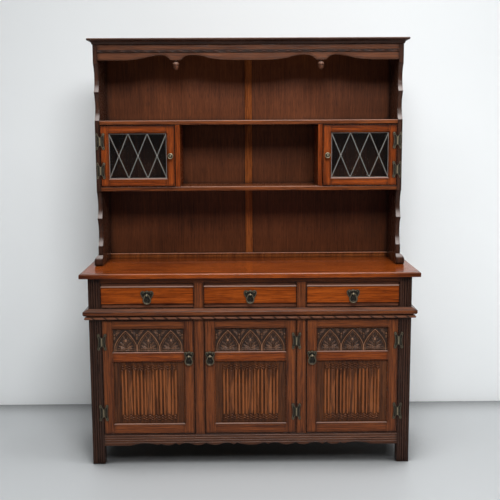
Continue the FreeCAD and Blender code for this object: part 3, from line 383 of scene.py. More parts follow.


# Distances from the edges that are painted darker

def under_drawer_tops(x, y, z):
    """Distance below the flat band along the top of a drawer front."""
    return DRAWER_MIDDLE + DRAWER_HALF - BAND_INSET - z


def under_glazed_tops(x, y, z):
    """Distance below the top of a glazed door."""
    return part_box("glazed_door_left_frame")[1].z - z


def from_rack_sides(x, y, z):
    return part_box("rack_back_panels")[1].x - abs(x)


def from_rack_back(x, y, z):
    """Distance in front of the rack's back."""
    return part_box("rack_back_panels")[0].y - y


# Masks of stain, dirt and painted shade

def line(distance, fade=EDGE_LINE):
    """1 in the dark line along an edge, 0 further off."""
    return 1.0 - distance.ramp(*fade)


def drawer_lines(x, y, z):
    """The dark lines where a drawer's field meets its coves, and along its four edges."""
    level = abs(z - DRAWER_MIDDLE)
    lines = line(abs(level - (DRAWER_HALF - FIELD_LINE_INSET))).greatest(line(DRAWER_HALF - level))
    for side in SIDES:
        middle, half = middle_and_half(f"drawer_{side}_front", 0)
        lines = lines.greatest(line(abs(half - abs(x - middle))))
    return lines


def waist_line(x, y, z):
    """The dark line under the top of the waist moulding, which takes a painted highlight."""
    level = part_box("waist_moulding")[1].z - WAIST_LINE_INSET
    return line(abs(z - level), WAIST_LINE) * WAIST_STAIN


def lower_bay_shade(x, y, z):
    """The front of the back under the upper shelf, painted darker as shade from the shelves."""
    front = y.below(middle_and_half("rack_back_panels", 1)[0])
    return z.below(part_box("rack_shelves")[1].z) * front * LOWER_BAY_SHADE


def board_ends(x, y, z):
    """The front edge of the top board, darker towards its ends."""
    low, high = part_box("top_board")
    middle = (high.x - abs(x)).ramp(0.0, BOARD_END)
    return (1.0 - middle) * (1.0 - (y - low.y).ramp(*BOARD_NOSE)) * BOARD_END_DARKENING


def hinge_soil(kind):
    """Dirt on the wood round the hinges of a set of doors."""
    def soiled(x, y, z):
        middle, half = middle_and_half(f"{kind}_left_frame", 2)
        level = abs(abs(z - middle) - (half - HINGE_INSETS[kind]))
        clear = 1.0
        for side, hand in HANDS[kind].items():
            low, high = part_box(f"{kind}_{side}_frame")
            clear = abs(x - (low.x if hand > 0 else high.x)).ramp(*SOIL_ACROSS) * clear
        return (1.0 - clear) * (1.0 - level.ramp(*SOIL_UP)) * HINGE_SOIL[kind]
    return soiled


def door_dirt(kind, offset):
    """Dirt round the hinges and along the outer edges of a set of doors."""
    def soiled(x, y, z):
        middle, half = middle_and_half(f"{kind}_right_frame", 2)
        ends = line(middle_and_half(f"{kind}_right_frame", 0)[1] - offset(x))
        return hinge_soil(kind)(x, y, z).greatest(ends.greatest(line(half - abs(z - middle))))
    return soiled


# Finishes

OAK_RING = 11 * MM
OAK_LINE = 13 * MM
PATINA_REACH = 24 * MM
HOLLOW_REACH = 28 * MM
WORN_EDGE = 1.6 * MM
PIECE_SHIFT = 37.0
BLOTCH_SCALE = 4.5

# Swirl, figure, streaks, fibre and pores: their scales along and across the grain, detail and roughness
GRAIN = (
    (1.6, 8.0, 1.0, 0.5),
    (1.5, 38.0, 3.0, 0.6),
    (5.5, 140.0, 4.0, 0.7),
    (13.0, 420.0, 3.0, 0.65),
    (30.0, 700.0, 1.0, 0.5),
)


def oak(name, tone, run, gloss=0.24, carved=False, bright=None, rim=None, shine=0.15, patina=0.8,
        upward_highlight=0.55, highlight="upward_highlight", grain=1.0, hollow=0.9, seams=None):
    """Stained and lacquered oak: rings, streaks, fibre and open pores, with a dark patina near the edges,
    pale worn edges, a painted highlight on faces that lean upwards, and stain and painted shade in the
    hollows."""
    tones = settings("dresser_finish")
    light, dark = getattr(tones, f"{tone}_light"), getattr(tones, f"{tone}_dark")
    paint = Paint(name)
    x, y, z = paint.place()
    along, across = run(x, y, z)
    seed = paint.add("ShaderNodeObjectInfo", output="Random") * PIECE_SHIFT
    swirl, figure, streak, fibre, pits = (
        paint.noise(along * far, across * wide, seed, detail, rough) for far, wide, detail, rough in GRAIN)
    pores = pits.ramp(0.54, 0.70)
    blotch = paint.noise(x * BLOTCH_SCALE, y * BLOTCH_SCALE + seed, z * BLOTCH_SCALE)
    rings = ((across + swirl * 0.07) * (math.tau / OAK_RING)).sine()
    lines = ((across + swirl * 0.11) * (math.tau / OAK_LINE)).sine().ramp(0.6, 1.0) * streak
    figured = rings * 0.05 + (figure - 0.5) * 1.1 + (streak - 0.5) * 2.3 + (fibre - 0.5) * 1.6 - lines * 0.35
    amount = 0.57 + figured * grain + (blotch - 0.5) * 0.8
    wood = paint.mix(amount, dark, light)
    if bright:
        wood = paint.mix(bright(x, z), wood, paint.mix(amount, tones.bright_dark, tones.bright_light))
    wood = paint.mix(pores * 0.5, wood, tones.stain)
    # A band that darkens towards an edge; on the top board and the glazed doors it is painted shadow.
    if rim:
        distance, reach, strength = rim
        edge = distance(x, y, z) + (blotch - 0.5) * reach + (streak - 0.5) * reach * 0.8
        wood = paint.mix((1.0 - edge.ramp(0.0, reach)) * strength, wood, tones.dusk_dark)
    # Dark lines and dirt, and painted shade on the back behind the lower shelves.
    if seams:
        wood = paint.mix(seams(x, y, z) * 0.85, wood, tones.stain)
    rounded, worn = paint.edges(WORN_EDGE)
    if carved:
        clean = paint.add("ShaderNodeAttribute", {"attribute_name": "clean"}, output="Fac")
        wood = paint.mix((1.0 - clean) * 0.92, wood, tones.stain)
        # Painted highlight on the crests of a carving.
        wood = paint.mix(clean.ramp(0.8, 1.0) * 0.45, wood, shaded(light, 1.5))
    else:
        near_edge = paint.edges(PATINA_REACH)[1] + (figure - 0.5) * 0.5
        wood = paint.mix(near_edge.ramp(0.0, 0.75) * patina, wood, tones.dusk_dark)
        wood = paint.mix(near_edge.ramp(0.8, 1.1) * patina, wood, tones.stain)
        # Partly stain in the joints, partly painted shade: the wood darkens where it is occluded.
        open_air = paint.crevices(HOLLOW_REACH).ramp(0.22, 0.84)
        wood = paint.mix((1.0 - open_air) * hollow, wood, tones.stain)
        # Painted highlight: faces that lean upwards turn towards a pale tone, less so in hollows.
        normal = paint.add("ShaderNodeNewGeometry", output="Normal")
        lean = paint.add("ShaderNodeSeparateXYZ", inputs={0: normal}, output="Z")
        upward = lean.ramp(0.25, 0.6) * (1.0 - lean.ramp(0.92, 0.98)) * (0.5 + streak)
        wood = paint.mix(upward * (open_air * 0.6 + 0.4) * upward_highlight, wood, getattr(tones, highlight))
        wood = paint.mix(worn * open_air * 0.15, wood, light)
    return paint.finish(paint.principled(
        Specular_IOR_Level=shine, Base_Color=wood, Roughness=gloss + pores * 0.12 + (blotch - 0.5) * 0.16,
        Normal=paint.bump(0.22, 0.5 * MM, fibre * 0.6 - pores, Normal=rounded)))


BRASS_EDGE = 0.8 * MM
BRASS_HOLLOW = 7 * MM
BRASS_PROUD = (5.3 * MM, 6.6 * MM)


def aged_brass(name, tone, shine=0.42, soiled=0.9, rubbed=0.0):
    """Cast brass, dark with age: black in its hollows, and rubbed bright with a painted highlight where it
    stands proud.
    """
    tones = settings("dresser_finish")
    paint = Paint(name)
    place = paint.place()
    pits = paint.clouds(place, 160.0, detail=3.0)
    cloud = paint.clouds(place, 45.0, detail=2.0)
    rounded, worn = paint.edges(BRASS_EDGE)
    open_air = paint.crevices(BRASS_HOLLOW).ramp(0.3, 0.9)
    clean = getattr(tones, tone)
    proud = (RACK_FACE - place[1].wrapped(BASE_FACE, RACK_FACE)).ramp(*BRASS_PROUD)
    metal = paint.mix(cloud.ramp(0.35, 0.7) * 0.6, clean, shaded(clean, 0.55))
    metal = paint.mix(worn * 0.5, metal, tones.brass)
    # Partly rubbed brass, partly painted highlight: the crest of what stands proud, such as a hinge's
    # knuckle, is painted bright.
    metal = paint.mix(proud * rubbed, metal, shaded(tones.brass, 2.3))
    metal = paint.mix((1.0 - open_air) * soiled, metal, tones.grime_and_shade)
    return paint.finish(paint.principled(
        Metallic=0.6, Base_Color=metal, Roughness=shine + pits * 0.2,
        Normal=paint.bump(0.3, 0.3 * MM, pits, Normal=rounded)))


DIAMONDS = 3
CAME_CROWN = 1.1 * MM
CAME_HALF = 2.25 * MM
LEAD_EDGE = 1.0 * MM


def came_flanks(x, z):
    """1 on the flanks of the crossing cames, which are painted dark as shade, 0 on their crowns and on the
    border.
    """
    low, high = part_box("glazed_door_right_lead")
    pitch, tall = (high.x - low.x) / DIAMONDS, high.z - low.z
    u, v = (abs(x) - low.x) * (1.0 / pitch), (z - low.z) * (1.0 / tall)
    steep = 1.0 / math.hypot(1.0 / pitch, 1.0 / tall)
    flanks = abs(abs(x) - (low.x + high.x) / 2).below((high.x - low.x) / 2 - CAME_HALF)
    flanks = flanks * abs(z - (low.z + high.z) / 2).below(tall / 2 - CAME_HALF)
    for slant in (u - v, u + v):
        flanks = flanks * (abs(slant.wrapped(-0.5, 0.5)) * steep).ramp(CAME_CROWN, CAME_HALF)
    return flanks


def lead_came(name, flanks=None):
    """Dull grey lead, paler on its edges, and painted dark as shade on the flanks of the cames when a mask is
    given.
    """
    tones = settings("dresser_finish")
    paint = Paint(name)
    place = paint.place()
    dull = paint.clouds(place, 70.0, detail=3.0)
    rounded, worn = paint.edges(LEAD_EDGE)
    metal = paint.mix(dull.ramp(0.3, 0.75) * 0.6, tones.lead, shaded(tones.lead, 0.5))
    metal = paint.mix(worn * 0.4, metal, shaded(tones.lead, 1.7))
    # Painted shade on the flanks of the cames, so that they look thinner.
    if flanks:
        metal = paint.mix(flanks(place[0], place[2]) * 0.85, metal, tones.grime_and_shade)
    return paint.finish(paint.principled(
        Metallic=0.3, Base_Color=metal, Roughness=0.38 + dull * 0.25,
        Normal=paint.bump(0.25, 0.3 * MM, dull, Normal=rounded)))


def old_glass(name):
    """Clear drawn glass with a faint wave in it."""
    paint = Paint(name)
    x, y, z = paint.place()
    wave = paint.noise(x * 14.0, y * 14.0, z * 9.0, detail=1.0)
    return paint.finish(paint.principled(
        Base_Color=(0.90, 0.93, 0.91, 1.0), Transmission_Weight=1.0, IOR=1.45,
        Roughness=wave.ramp(0.35, 0.8) * 0.05 + 0.02, Normal=paint.bump(0.12, 2 * MM, wave)))


FLOOR_SHADE = 0.3
WALL_FADE = (0.5, 2.6)


def painted_floor(name):
    """A pale floor that is dark in the deep shade under the dresser."""
    tint = settings("dresser_stage").floor_colour
    paint = Paint(name)
    x, y, z = paint.place()
    cloud = paint.noise(x * 1.3, y * 1.3, z, detail=3.0)
    grit = paint.noise(x * 60.0, y * 60.0, z)
    pale = paint.mix(cloud * 0.25 + grit * 0.05, tint, shaded(tint, 0.86))
    open_air = paint.crevices(FLOOR_SHADE).ramp(0.3, 0.85)
    pale = paint.mix((1.0 - open_air) * 0.97, pale, shaded(tint, 0.03))
    return paint.finish(paint.principled(
        Specular_IOR_Level=0.35, Base_Color=pale, Roughness=0.36 + cloud * 0.12))


def one_sided_wall(name):
    """A plain wall that is seen only from its front, so that it never hides the back of the dresser."""
    stage = settings("dresser_stage")
    tint = stage.wall_colour
    paint = Paint(name)
    # Painted shade: the wall's colour darkens towards the top.
    level = paint.place()[2].ramp(*WALL_FADE)
    wall = paint.principled(
        Base_Color=paint.mix(level, tint, shaded(tint, 0.62)), Specular_IOR_Level=0.0,
        Emission_Color=(*tint, 1.0), Emission_Strength=stage.wall_glow)
    clear = paint.add("ShaderNodeBsdfTransparent")
    behind = paint.add("ShaderNodeNewGeometry", output="Backfacing")
    return paint.finish(paint.add("ShaderNodeMixShader", inputs={0: behind, 1: wall, 2: clear}))


# Which finish each CAD node takes

BACK_RIM = (from_rack_sides, 360 * MM, 0.3)
# Painted shadow of the rack on the back of the top board.
BOARD_BACK_SHADOW = (from_rack_back, 230 * MM, 0.4)
DRAWER_RIM = (under_drawer_tops, 3 * MM, 0.5)
# Painted shadow of the shelf above on the tops of the glazed doors.
GLAZED_TOP_SHADOW = (under_glazed_tops, 22 * MM, 0.5)


def oak_nodes():
    """Each oak finish and the nodes that take it."""
    doors = [f"door_{side}_frame" for side in SIDES]
    drawers = [f"drawer_{side}_front" for side in SIDES]
    boxes = [f"drawer_{side}_box" for side in SIDES]
    glazed = [f"glazed_door_{side}_frame" for side in GLAZED_SIDES]
    return [
        (oak("oak_top_board", "bright", lying, gloss=0.09, shine=0.22, rim=BOARD_BACK_SHADOW, patina=0.15, upward_highlight=0.3,
             seams=board_ends), ["top_board"]),
        (oak("oak_drawer_fronts", "umber", lying, gloss=0.22, shine=0.07, bright=drawer_fields,
             rim=DRAWER_RIM, patina=0.25, upward_highlight=1.0, hollow=0.12, seams=drawer_lines), drawers),
        (oak("oak_door_frames", "warm", turning(door_stiles), bright=middle_rails, upward_highlight=0.35,
             seams=door_dirt("door", door_offset)), doors),
        (oak("oak_glazed_frames", "russet", turning(glazed_stiles), patina=0.85, rim=GLAZED_TOP_SHADOW,
             seams=door_dirt("glazed_door", glazed_offset)), glazed),
        (oak("oak_partitions", "russet", standing, patina=0.15), ["rack_partitions"]),
        (oak("oak_front_frame", "warm", turning(front_uprights), seams=hinge_soil("door")), ["front_frame"]),
        (oak("oak_shelves", "warm", lying, patina=0.25), ["rack_shelves"]),
        (oak("oak_frieze", "brown", lying, patina=0.6, grain=0.6), ["rack_top_board", "frieze_board"]),
        (oak("oak_rack_back", "deep", standing, gloss=0.34, shine=0.18, rim=BACK_RIM, grain=0.55, patina=0.5,
             seams=lower_bay_shade), ["rack_back_panels"]),
        (oak("oak_back_muntin", "honey", standing, patina=0.15), ["rack_back_frame"]),
        (oak("oak_uprights", "brown", standing), ["base_ends", "pendants"]),
        (oak("oak_posts", "dusk", standing), ["corner_posts"]),
        (oak("oak_rack_sides", "dusk", standing, patina=0.85, upward_highlight=1.0, highlight="grey_highlight"),
         ["rack_feet", "rack_sides"]),
        (oak("oak_cornice", "dusk", wrapping, patina=0.5), ["cornice"]),
        (oak("oak_waist_moulding", "warm", wrapping, patina=0.55, upward_highlight=0.15, seams=waist_line),
         ["waist_moulding"]),
        (oak("oak_bottom_rail", "brown", lying, upward_highlight=0.25), ["bottom_rail"]),
        (oak("oak_bare", "plain", lying, gloss=0.6),
         [*boxes, "drawer_runners", "cupboard_floor", "base_back"]),
    ]


def fitting_nodes():
    """Each finish of the metal and glass, and the nodes that take it. New pieces take those with no nodes."""
    def glazed(part):
        return [f"glazed_door_{side}_{part}" for side in GLAZED_SIDES]

    rings = [f"{owner}_{side}_pull_ring" for owner in ("door", "drawer") for side in SIDES]
    plates = [f"drawer_{side}_pull_plate" for side in SIDES] + [f"door_{side}_fittings" for side in SIDES]
    hinges = ["base_hinges", "rack_hinges", *glazed("hinge_leaves")]
    return [
        (aged_brass("brass_plates", "brass_dark", rubbed=0.9), hinges + plates),
        (aged_brass("brass_rubbed", "brass", shine=0.34), rings),
        (aged_brass("brass_trim", "brass", shine=0.38, soiled=0.35), []),
        (aged_brass("brass_cups", "brass_dark", shine=0.36), []),
        (aged_brass("brass_knobs", "brass_dark", shine=0.26, rubbed=0.08), glazed("knob")),
        (aged_brass("brass_buttons", "brass", shine=0.26, rubbed=0.7), []),
        (lead_came("lead_cames", came_flanks), glazed("lead")),
        (lead_came("solder"), []),
        (old_glass("drawn_glass"), glazed("glass")),
    ]


# Mesh building

SHARP_ANGLE = math.radians(40)


def piece(name, shells, material, body, clean=None):
    """A finished piece: one mesh of closed shells with its material, riding on a body."""
    corners, faces = [], []
    for shell_corners, shell_faces in shells:
        start = len(corners)
        corners += shell_corners
        faces += [[start + corner for corner in face] for face in shell_faces]
    mesh = bpy.data.meshes.new(name)
    mesh.from_pydata(corners, [], faces)
    if clean:
        mesh.attributes.new("clean", "FLOAT", "POINT").data.foreach_set("value", clean)
    mesh.shade_smooth()
    mesh.set_sharp_from_angle(angle=SHARP_ANGLE)
    mesh.materials.append(material)
    made = bpy.data.objects.new(name, mesh)
    bpy.context.scene.collection.objects.link(made)
    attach(made, body)
    return made


def grid_faces(columns, rows):
    """Quads over a grid of points that is stored row by row, seen from its front."""
    faces = []
    for row in range(rows - 1):
        for column in range(columns - 1):
            near = row * columns + column
            faces.append((near, near + 1, near + columns + 1, near + columns))
    return faces


def loft_faces(rings, points, ring_closed=False):
    """Quads between rings of points. The ends are closed by a face each, or the last ring joins the first."""
    faces = []
    for ring in range(rings if ring_closed else rings - 1):
        for point in range(points):
            after = (point + 1) % points
            near, far = ring * points, (ring + 1) % rings * points
            faces.append((near + point, near + after, far + after, far + point))
    if not ring_closed:
        faces.append(tuple(range(points))[::-1])
        faces.append(tuple((rings - 1) * points + point for point in range(points)))
    return faces


def clamped(share):
    return min(1.0, max(0.0, share))


def smooth(share):
    share = clamped(share)
    return share * share * (3.0 - 2.0 * share)


LAP_CLEAN = 0.3


def carved_panel(name, node, carving_at, material, body):
    """A closed panel in the place of a CAD node. carving_at gives how far a point of it stands proud,
    and how clean of stain it is; this share also sets painted highlights on crests and painted shadow."""
    carving = settings("dresser_carving")
    low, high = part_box(node)
    lap = carving.panel_lap
    width, tall = high.x - low.x, high.z - low.z
    open_size = ((width - lap * 2) / MM, (tall - lap * 2) / MM)
    ground = high.y - carving.panel_thickness
    columns = round(width / carving.grid) + 1
    rows = round(tall / carving.grid) + 1
    corners, clean = [], []
    for row in range(rows):
        v = tall * row / (rows - 1)
        for column in range(columns):
            u = width * column / (columns - 1)
            rise, share = 0.0, LAP_CLEAN
            if lap < u < width - lap and lap < v < tall - lap:
                rise, share = carving_at((u - lap) / MM, (v - lap) / MM, *open_size)
            corners.append((low.x + u, ground - rise * MM, low.z + v))
            clean.append(clamped(share))
    faces = grid_faces(columns, rows)
    count = columns * rows
    back = ((low.x, low.z), (high.x, low.z), (high.x, high.z), (low.x, high.z))
    corners += [(x, high.y, z) for x, z in back]
    clean += [LAP_CLEAN] * len(back)
    a, b, c, d = range(count, count + len(back))
    bottom = list(range(columns))
    top = list(range(count - columns, count))
    left = list(range(0, count, columns))
    right = list(range(columns - 1, count, columns))
    faces += [bottom[::-1] + [a, b], top + [c, d], left + [d, a], right[::-1] + [b, c], (a, d, c, b)]
    made = piece(name, [(corners, faces)], material, body, clean)
    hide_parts(node)


# Carving, in millimetres. A bead is its place, half width and height, and a leaf is its height, root, tip
# and half width.

def ridge(offset, half):
    """A half-round bead: 1 on its crest and 0 at its two edges."""
    share = offset / half
    return math.sqrt(1.0 - share * share) if abs(share) < 1.0 else 0.0


def bead(offset, place, half, height):
    return height * ridge(offset - place, half)


def leaf(u, v, height, root, tip, half_width):
    """A pointed leaf with a lobed edge and a sunk midrib."""
    axis = Vector(tip) - Vector(root)
    reach = axis.length
    offset = Vector((u, v)) - Vector(root)
    share = offset.dot(axis) / (reach * reach)
    if not 0.0 < share < 1.0:
        return 0.0
    across = (offset.x * axis.y - offset.y * axis.x) / reach
    half = half_width * math.sin(math.pi * share ** 0.8) * (1.0 + 0.2 * math.sin(share * 26.0))
    if half <= 0.0 or abs(across) >= half:
        return 0.0
    return height * math.sqrt(1.0 - (across / half) ** 2) * (1.0 - 0.45 * ridge(across, half * 0.3))


ARCH_COUNT = 3
ARCH_MARGIN = 5.6
ARCH_FOOT = 24.0
ARCH_PEAK = 91.0
ARCH_SWELL = 27.0
ARCH_RIBS = ((1.7, 2.3, 5.4), (8.2, 1.7, 3.8))
ARCH_SILLS = ((4.5, 2.2, 3.4), (10.0, 1.5, 2.4))
ARCH_LEAVES = (
    (4.4, (1.0, 11.0), (32.0, 27.0), 6.0),
    (4.0, (3.0, 9.0), (36.0, 14.5), 3.6),
    (3.4, (4.0, 22.0), (26.0, 42.0), 4.2),
    (3.0, (5.0, 56.0), (11.0, 68.0), 3.0),
)
ARCH_FULL = 5.0
CHISEL_SCALE = 0.45
WITHIN_RIBS = 9.5
OUTSIDE_RIBS = -1.5
BUD_LEVEL = 47.0
BUD = (0.0, 8.0, 4.8)
BUD_PETALS = 6
PETAL = (12.5, 4.0, 2.4)
STALK = (0.0, 1.8, 3.0)
BERRY_LEVEL = 71.5
BERRY = (0.0, 3.6, 5.2)
TREFOIL_LEAVES = (
    (4.4, (5.0, 74.0), (25.0, 86.0), 5.5),
    (4.0, (7.0, 88.0), (34.0, 92.0), 3.0),
    (4.4, (0.01, 67.0), (0.0, 48.0), 4.6),
    (3.6, (4.0, 68.0), (15.0, 70.0), 3.2),
)


def arch_carving(u, v, width, tall):
    """A row of pointed arches with double ribs, each with a bud over leaves, and trefoils between them."""
    pitch = (width - ARCH_MARGIN * 2) / ARCH_COUNT
    half = pitch / 2
    arch = min(ARCH_COUNT - 1, max(0, int((u - ARCH_MARGIN) / pitch)))
    side = abs(u - ARCH_MARGIN - pitch * (arch + 0.5))
    inside = half - side
    rise_height = ARCH_PEAK - ARCH_FOOT
    share = (v - ARCH_FOOT) / rise_height
    if share > 0.0:
        edge = half * (1.0 - share) + ARCH_SWELL * share * (1.0 - share)
        slope = (-half + ARCH_SWELL * (1.0 - 2.0 * share)) / rise_height
        inside = (edge - side) / math.hypot(1.0, slope)
    rise = 0.5 + 0.5 * noise.noise(Vector((u * CHISEL_SCALE, v * CHISEL_SCALE, arch * 9.0)))
    rise = max(rise, *(bead(inside, *rib) for rib in ARCH_RIBS), *(bead(v, *sill) for sill in ARCH_SILLS))
    if inside > WITHIN_RIBS:
        bud = math.hypot(side * 1.25, v - BUD_LEVEL)
        petals = 0.6 + 0.4 * math.cos(BUD_PETALS * math.atan2(v - BUD_LEVEL, side))
        rise = max(rise, bead(bud, *BUD), petals * bead(bud, *PETAL))
        if v < BUD_LEVEL:
            rise = max(rise, bead(side, *STALK))
        rise = max(rise, *(leaf(side, v, *part) for part in ARCH_LEAVES))
    if inside < OUTSIDE_RIBS:
        spread = abs(half - side)
        berry = bead(math.hypot(spread, v - BERRY_LEVEL), *BERRY)
        rise = max(rise, berry, *(leaf(spread, v, *part) for part in TREFOIL_LEAVES))
    return rise, 0.06 + 0.94 * smooth(rise / ARCH_FULL)


FOLD_PITCH = 80.0
FOLD_HALF = 36.5
FOLD_LEVEL = 2.9
FOLD_CROWN = (0.0, 15.0, 1.0)
FOLD_RIBS = ((17.3, 5.0, 6.2), (32.0, 5.2, 7.2))
RIB_GROOVE = 2.0
GROOVE_LEVEL = 1.4
VALLEY_LEVEL = 0.5
LINEN_EDGE = 117.0
LINEN_WAVE = 26.67
LINEN_FULL = 7.4
HEM_PLACE = 14.0
HEM_SWING = 3.4
HEM_LEVEL = 1.6
HEM_BEAD = (3.0, 3.0, 3.4)
RIB_PLACE = 32.0
RIB_SWING = 4.0
RIB_BEAD = (-5.5, 3.0, 2.8)
RIB_FADE = 6.0
EDGE_FADE = 2.0
SHADE_TOP = (10.0, 90.0)
SHADE_FOOT = 70.0


def linen_carving(u, v, width, tall):
    """Three hanging folds, each a soft field between pairs of ribs, with scalloped hems at both ends."""
    side = abs(u - width / 2)
    end = min(v, tall - v)
    wave = math.cos(math.tau * side / LINEN_WAVE)
    grain = 0.5 * noise.noise(Vector((u * 0.3, v * 0.02, 3.0)))
    hem = HEM_PLACE + HEM_SWING * wave
    if side > LINEN_EDGE or end < hem:
        return 0.0, 0.45 + 0.3 * grain
    offset = abs((side + FOLD_PITCH / 2) % FOLD_PITCH - FOLD_PITCH / 2)
    body = FOLD_LEVEL + bead(offset, *FOLD_CROWN) if offset < FOLD_HALF else VALLEY_LEVEL
    for place, half, height in FOLD_RIBS:
        beside = body if abs(offset - place) > half + RIB_GROOVE else GROOVE_LEVEL
        body = max(beside, bead(offset, place, half, height))
    body *= min(1.0, (LINEN_EDGE - side) / EDGE_FADE)
    tip = RIB_PLACE + RIB_SWING * wave
    shown = smooth((end - tip) / RIB_FADE)
    edge = HEM_LEVEL + bead(end - hem, *HEM_BEAD) + bead(end - tip, *RIB_BEAD)
    rise = body * shown + edge * (1.0 - shown)
    streak = noise.noise(Vector((u * 0.11, v * 0.006, 7.0)))
    # Painted shadow from the rail above, with dirt, darkens the panel towards its top; it also darkens
    # towards its foot.
    shade = 0.55 + 0.45 * smooth((tall - v - SHADE_TOP[0]) / SHADE_TOP[1]) * smooth(v / SHADE_FOOT)
    return rise, (0.42 + rise / LINEN_FULL + 0.4 * grain) * shade * (0.95 + 0.45 * streak)


# Carved strips

ROPE_POINTS = 11
ROPE_STEP = 2.5 * MM
ROPE_RADIUS = 5.2 * MM
ROPE_SLANT = 0.16
ROPE_CUT = 5.0 * MM
LEAF_LENS = (0.42, 0.75)
LEAF_SUNK = 0.75
TURNS = [number / (ROPE_POINTS - 1) * 2 - 1 for number in range(ROPE_POINTS)]


def strip_stations(low, high):
    """Points round the front and ends of the base, each with its outward direction and its distance."""
    ends = ((low.x, high.y), (low.x, low.y), (high.x, low.y), (high.x, high.y))
    corners = [Vector(end) for end in ends]
    outward = [Vector((-1, 0)), Vector((0, -1)), Vector((1, 0))]
    stations = []
    travelled = 0.0
    for run, (start, finish) in enumerate(zip(corners, corners[1:])):
        span = (finish - start).length
        steps = round(span / ROPE_STEP)
        for step in range(steps):
            direction = outward[run]
            if step == 0 and run:
                direction = outward[run] + outward[run - 1]
            share = step / steps
            stations.append((start + (finish - start) * share, direction, travelled + span * share))
        travelled += span
    stations.append((corners[-1], outward[-1], travelled))
    return stations


def rope_depth(distance, turn, pitch):
    """How far a slanted cut sinks the strip: 0 on a segment's crown, 1 in the cut."""
    place = (distance / pitch + turn * ROPE_SLANT) % 1.0
    from_cut = min(place, 1.0 - place) * pitch
    return max(0.0, 1.0 - from_cut / ROPE_CUT) ** 0.6 + 0.12 * abs(place - 0.5)


def leaf_depth(distance, turn, pitch):
    """Gouged leaves end to end: a lens-shaped hollow with a pellet between two of them."""
    place = (distance / pitch) % 1.0 - 0.5
    lens = 1.0 - (place / LEAF_LENS[0]) ** 2 - (turn / LEAF_LENS[1]) ** 2
    return math.sqrt(max(0.0, lens)) * LEAF_SUNK


def waist_strip(material):
    """A half-round strip with slanted cuts, under a narrow fillet."""
    carving = settings("dresser_carving")
    low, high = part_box("carved_strip")
    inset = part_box("front_frame")[0].y - low.y
    core = inset - ROPE_RADIUS
    middle = low.z + ROPE_RADIUS
    corners, clean = [], []
    stations = strip_stations(low + Vector((inset, inset, 0)), high - Vector((inset, 0, 0)))
    for spot, direction, distance in stations:
        ring = [(0.0, low.z, 0.0)]
        for turn in TURNS:
            slope = turn * math.pi / 2
            cut = rope_depth(distance, turn, carving.rope_pitch) * math.cos(slope) ** 0.5
            reach = ROPE_RADIUS * (1.0 - 0.5 * cut)
            ring.append((core + reach * math.cos(slope), middle + reach * math.sin(slope), 1.0 - cut))
        ring += [(core * 0.6, middle + ROPE_RADIUS, 0.2), (core * 0.6, high.z, 0.0), (0.0, high.z, 0.0)]
        for out, height, share in ring:
            point = spot + direction * out
            corners.append((point.x, point.y, height))
            clean.append(clamped(share))
    shell = corners, loft_faces(len(stations), len(ring))
    made = piece("waist_rope", [shell], material, "carcass", clean)
    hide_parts("carved_strip")


def frieze_band(material):
    """A rounded band with gouged leaves."""
    carving = settings("dresser_carving")
    low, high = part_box("frieze_strip")
    half = (high.z - low.z) / 2
    bulge = high.y - low.y
    steps = round((high.x - low.x) / ROPE_STEP)
    corners, clean = [], []
    for step in range(steps + 1):
        x = low.x + (high.x - low.x) * step / steps
        for turn in TURNS:
            cut = leaf_depth(x - low.x, turn, carving.leaf_pitch)
            out = bulge * (1.0 - turn * turn) * (1.0 - cut) ** 0.8 + bulge * 0.12 * (1.0 - turn ** 4)
            corners.append((x, high.y - min(out, bulge), low.z + half * (1 + turn)))
            clean.append((1.0 - cut) * (0.85 - 0.85 * abs(turn) ** 1.6))
    shell = corners, loft_faces(steps + 1, ROPE_POINTS)
    made = piece("frieze_leaves", [shell], material, "carcass", clean)
    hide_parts("frieze_strip")


# Trim of the fittings: outlines are closed paths of (x, z) points

TURN_STEPS = 28
BEAD_STEPS = 8
ARC_STEPS = 14


def circle(u, v, radius, steps=TURN_STEPS):
    turns = [math.tau * step / steps for step in range(steps)]
    return [(u + radius * math.cos(turn), v + radius * math.sin(turn)) for turn in turns]


def arc(start, through, finish):
    """Points of the arc from start through a middle point, without its finish."""
    a, b, c = (complex(*point) for point in (start, through, finish))
    ratio = (c - a) / (b - a)
    centre = (b - a) * (ratio - abs(ratio) ** 2) / (2j * ratio.imag) + a
    sweep = cmath.phase((c - centre) / (a - centre))
    passed = cmath.phase((b - centre) / (a - centre))
    if passed * sweep < 0 or abs(passed) > abs(sweep):
        sweep -= math.copysign(math.tau, sweep)
    points = [centre + (a - centre) * cmath.exp(1j * sweep * step / ARC_STEPS) for step in range(ARC_STEPS)]
    return [(point.real, point.imag) for point in points]


def outline(turns):
    return [point for turn in turns for point in arc(*turn)]


def with_outward(path):
    """Each point of a path that runs anticlockwise from the front, with its outward direction."""
    for number, point in enumerate(path):
        tangent = (Vector(path[(number + 1) % len(path)]) - Vector(path[number - 1])).normalized()
        yield Vector(point), Vector((tangent.y, -tangent.x))


def drawn_in(path, gap):
    """The path moved inwards by a gap."""
    return [tuple(point - outward * gap) for point, outward in with_outward(path)]


def placed(path, x, z):
    return [(x + u, z + v) for u, v in path]


def bead_loop(path, radius, front, seat):
    """A round bead along a path, sunk by a share of its radius in its seat."""
    corners = []
    for point, outward in with_outward(path):
        for step in range(BEAD_STEPS):
            turn = math.tau * step / BEAD_STEPS
            spot = point + outward * (radius * math.cos(turn))
            corners.append((spot.x, front - radius * (math.sin(turn) + 1.0 - seat * 2), spot.y))
    return corners, loft_faces(len(path), BEAD_STEPS, ring_closed=True)


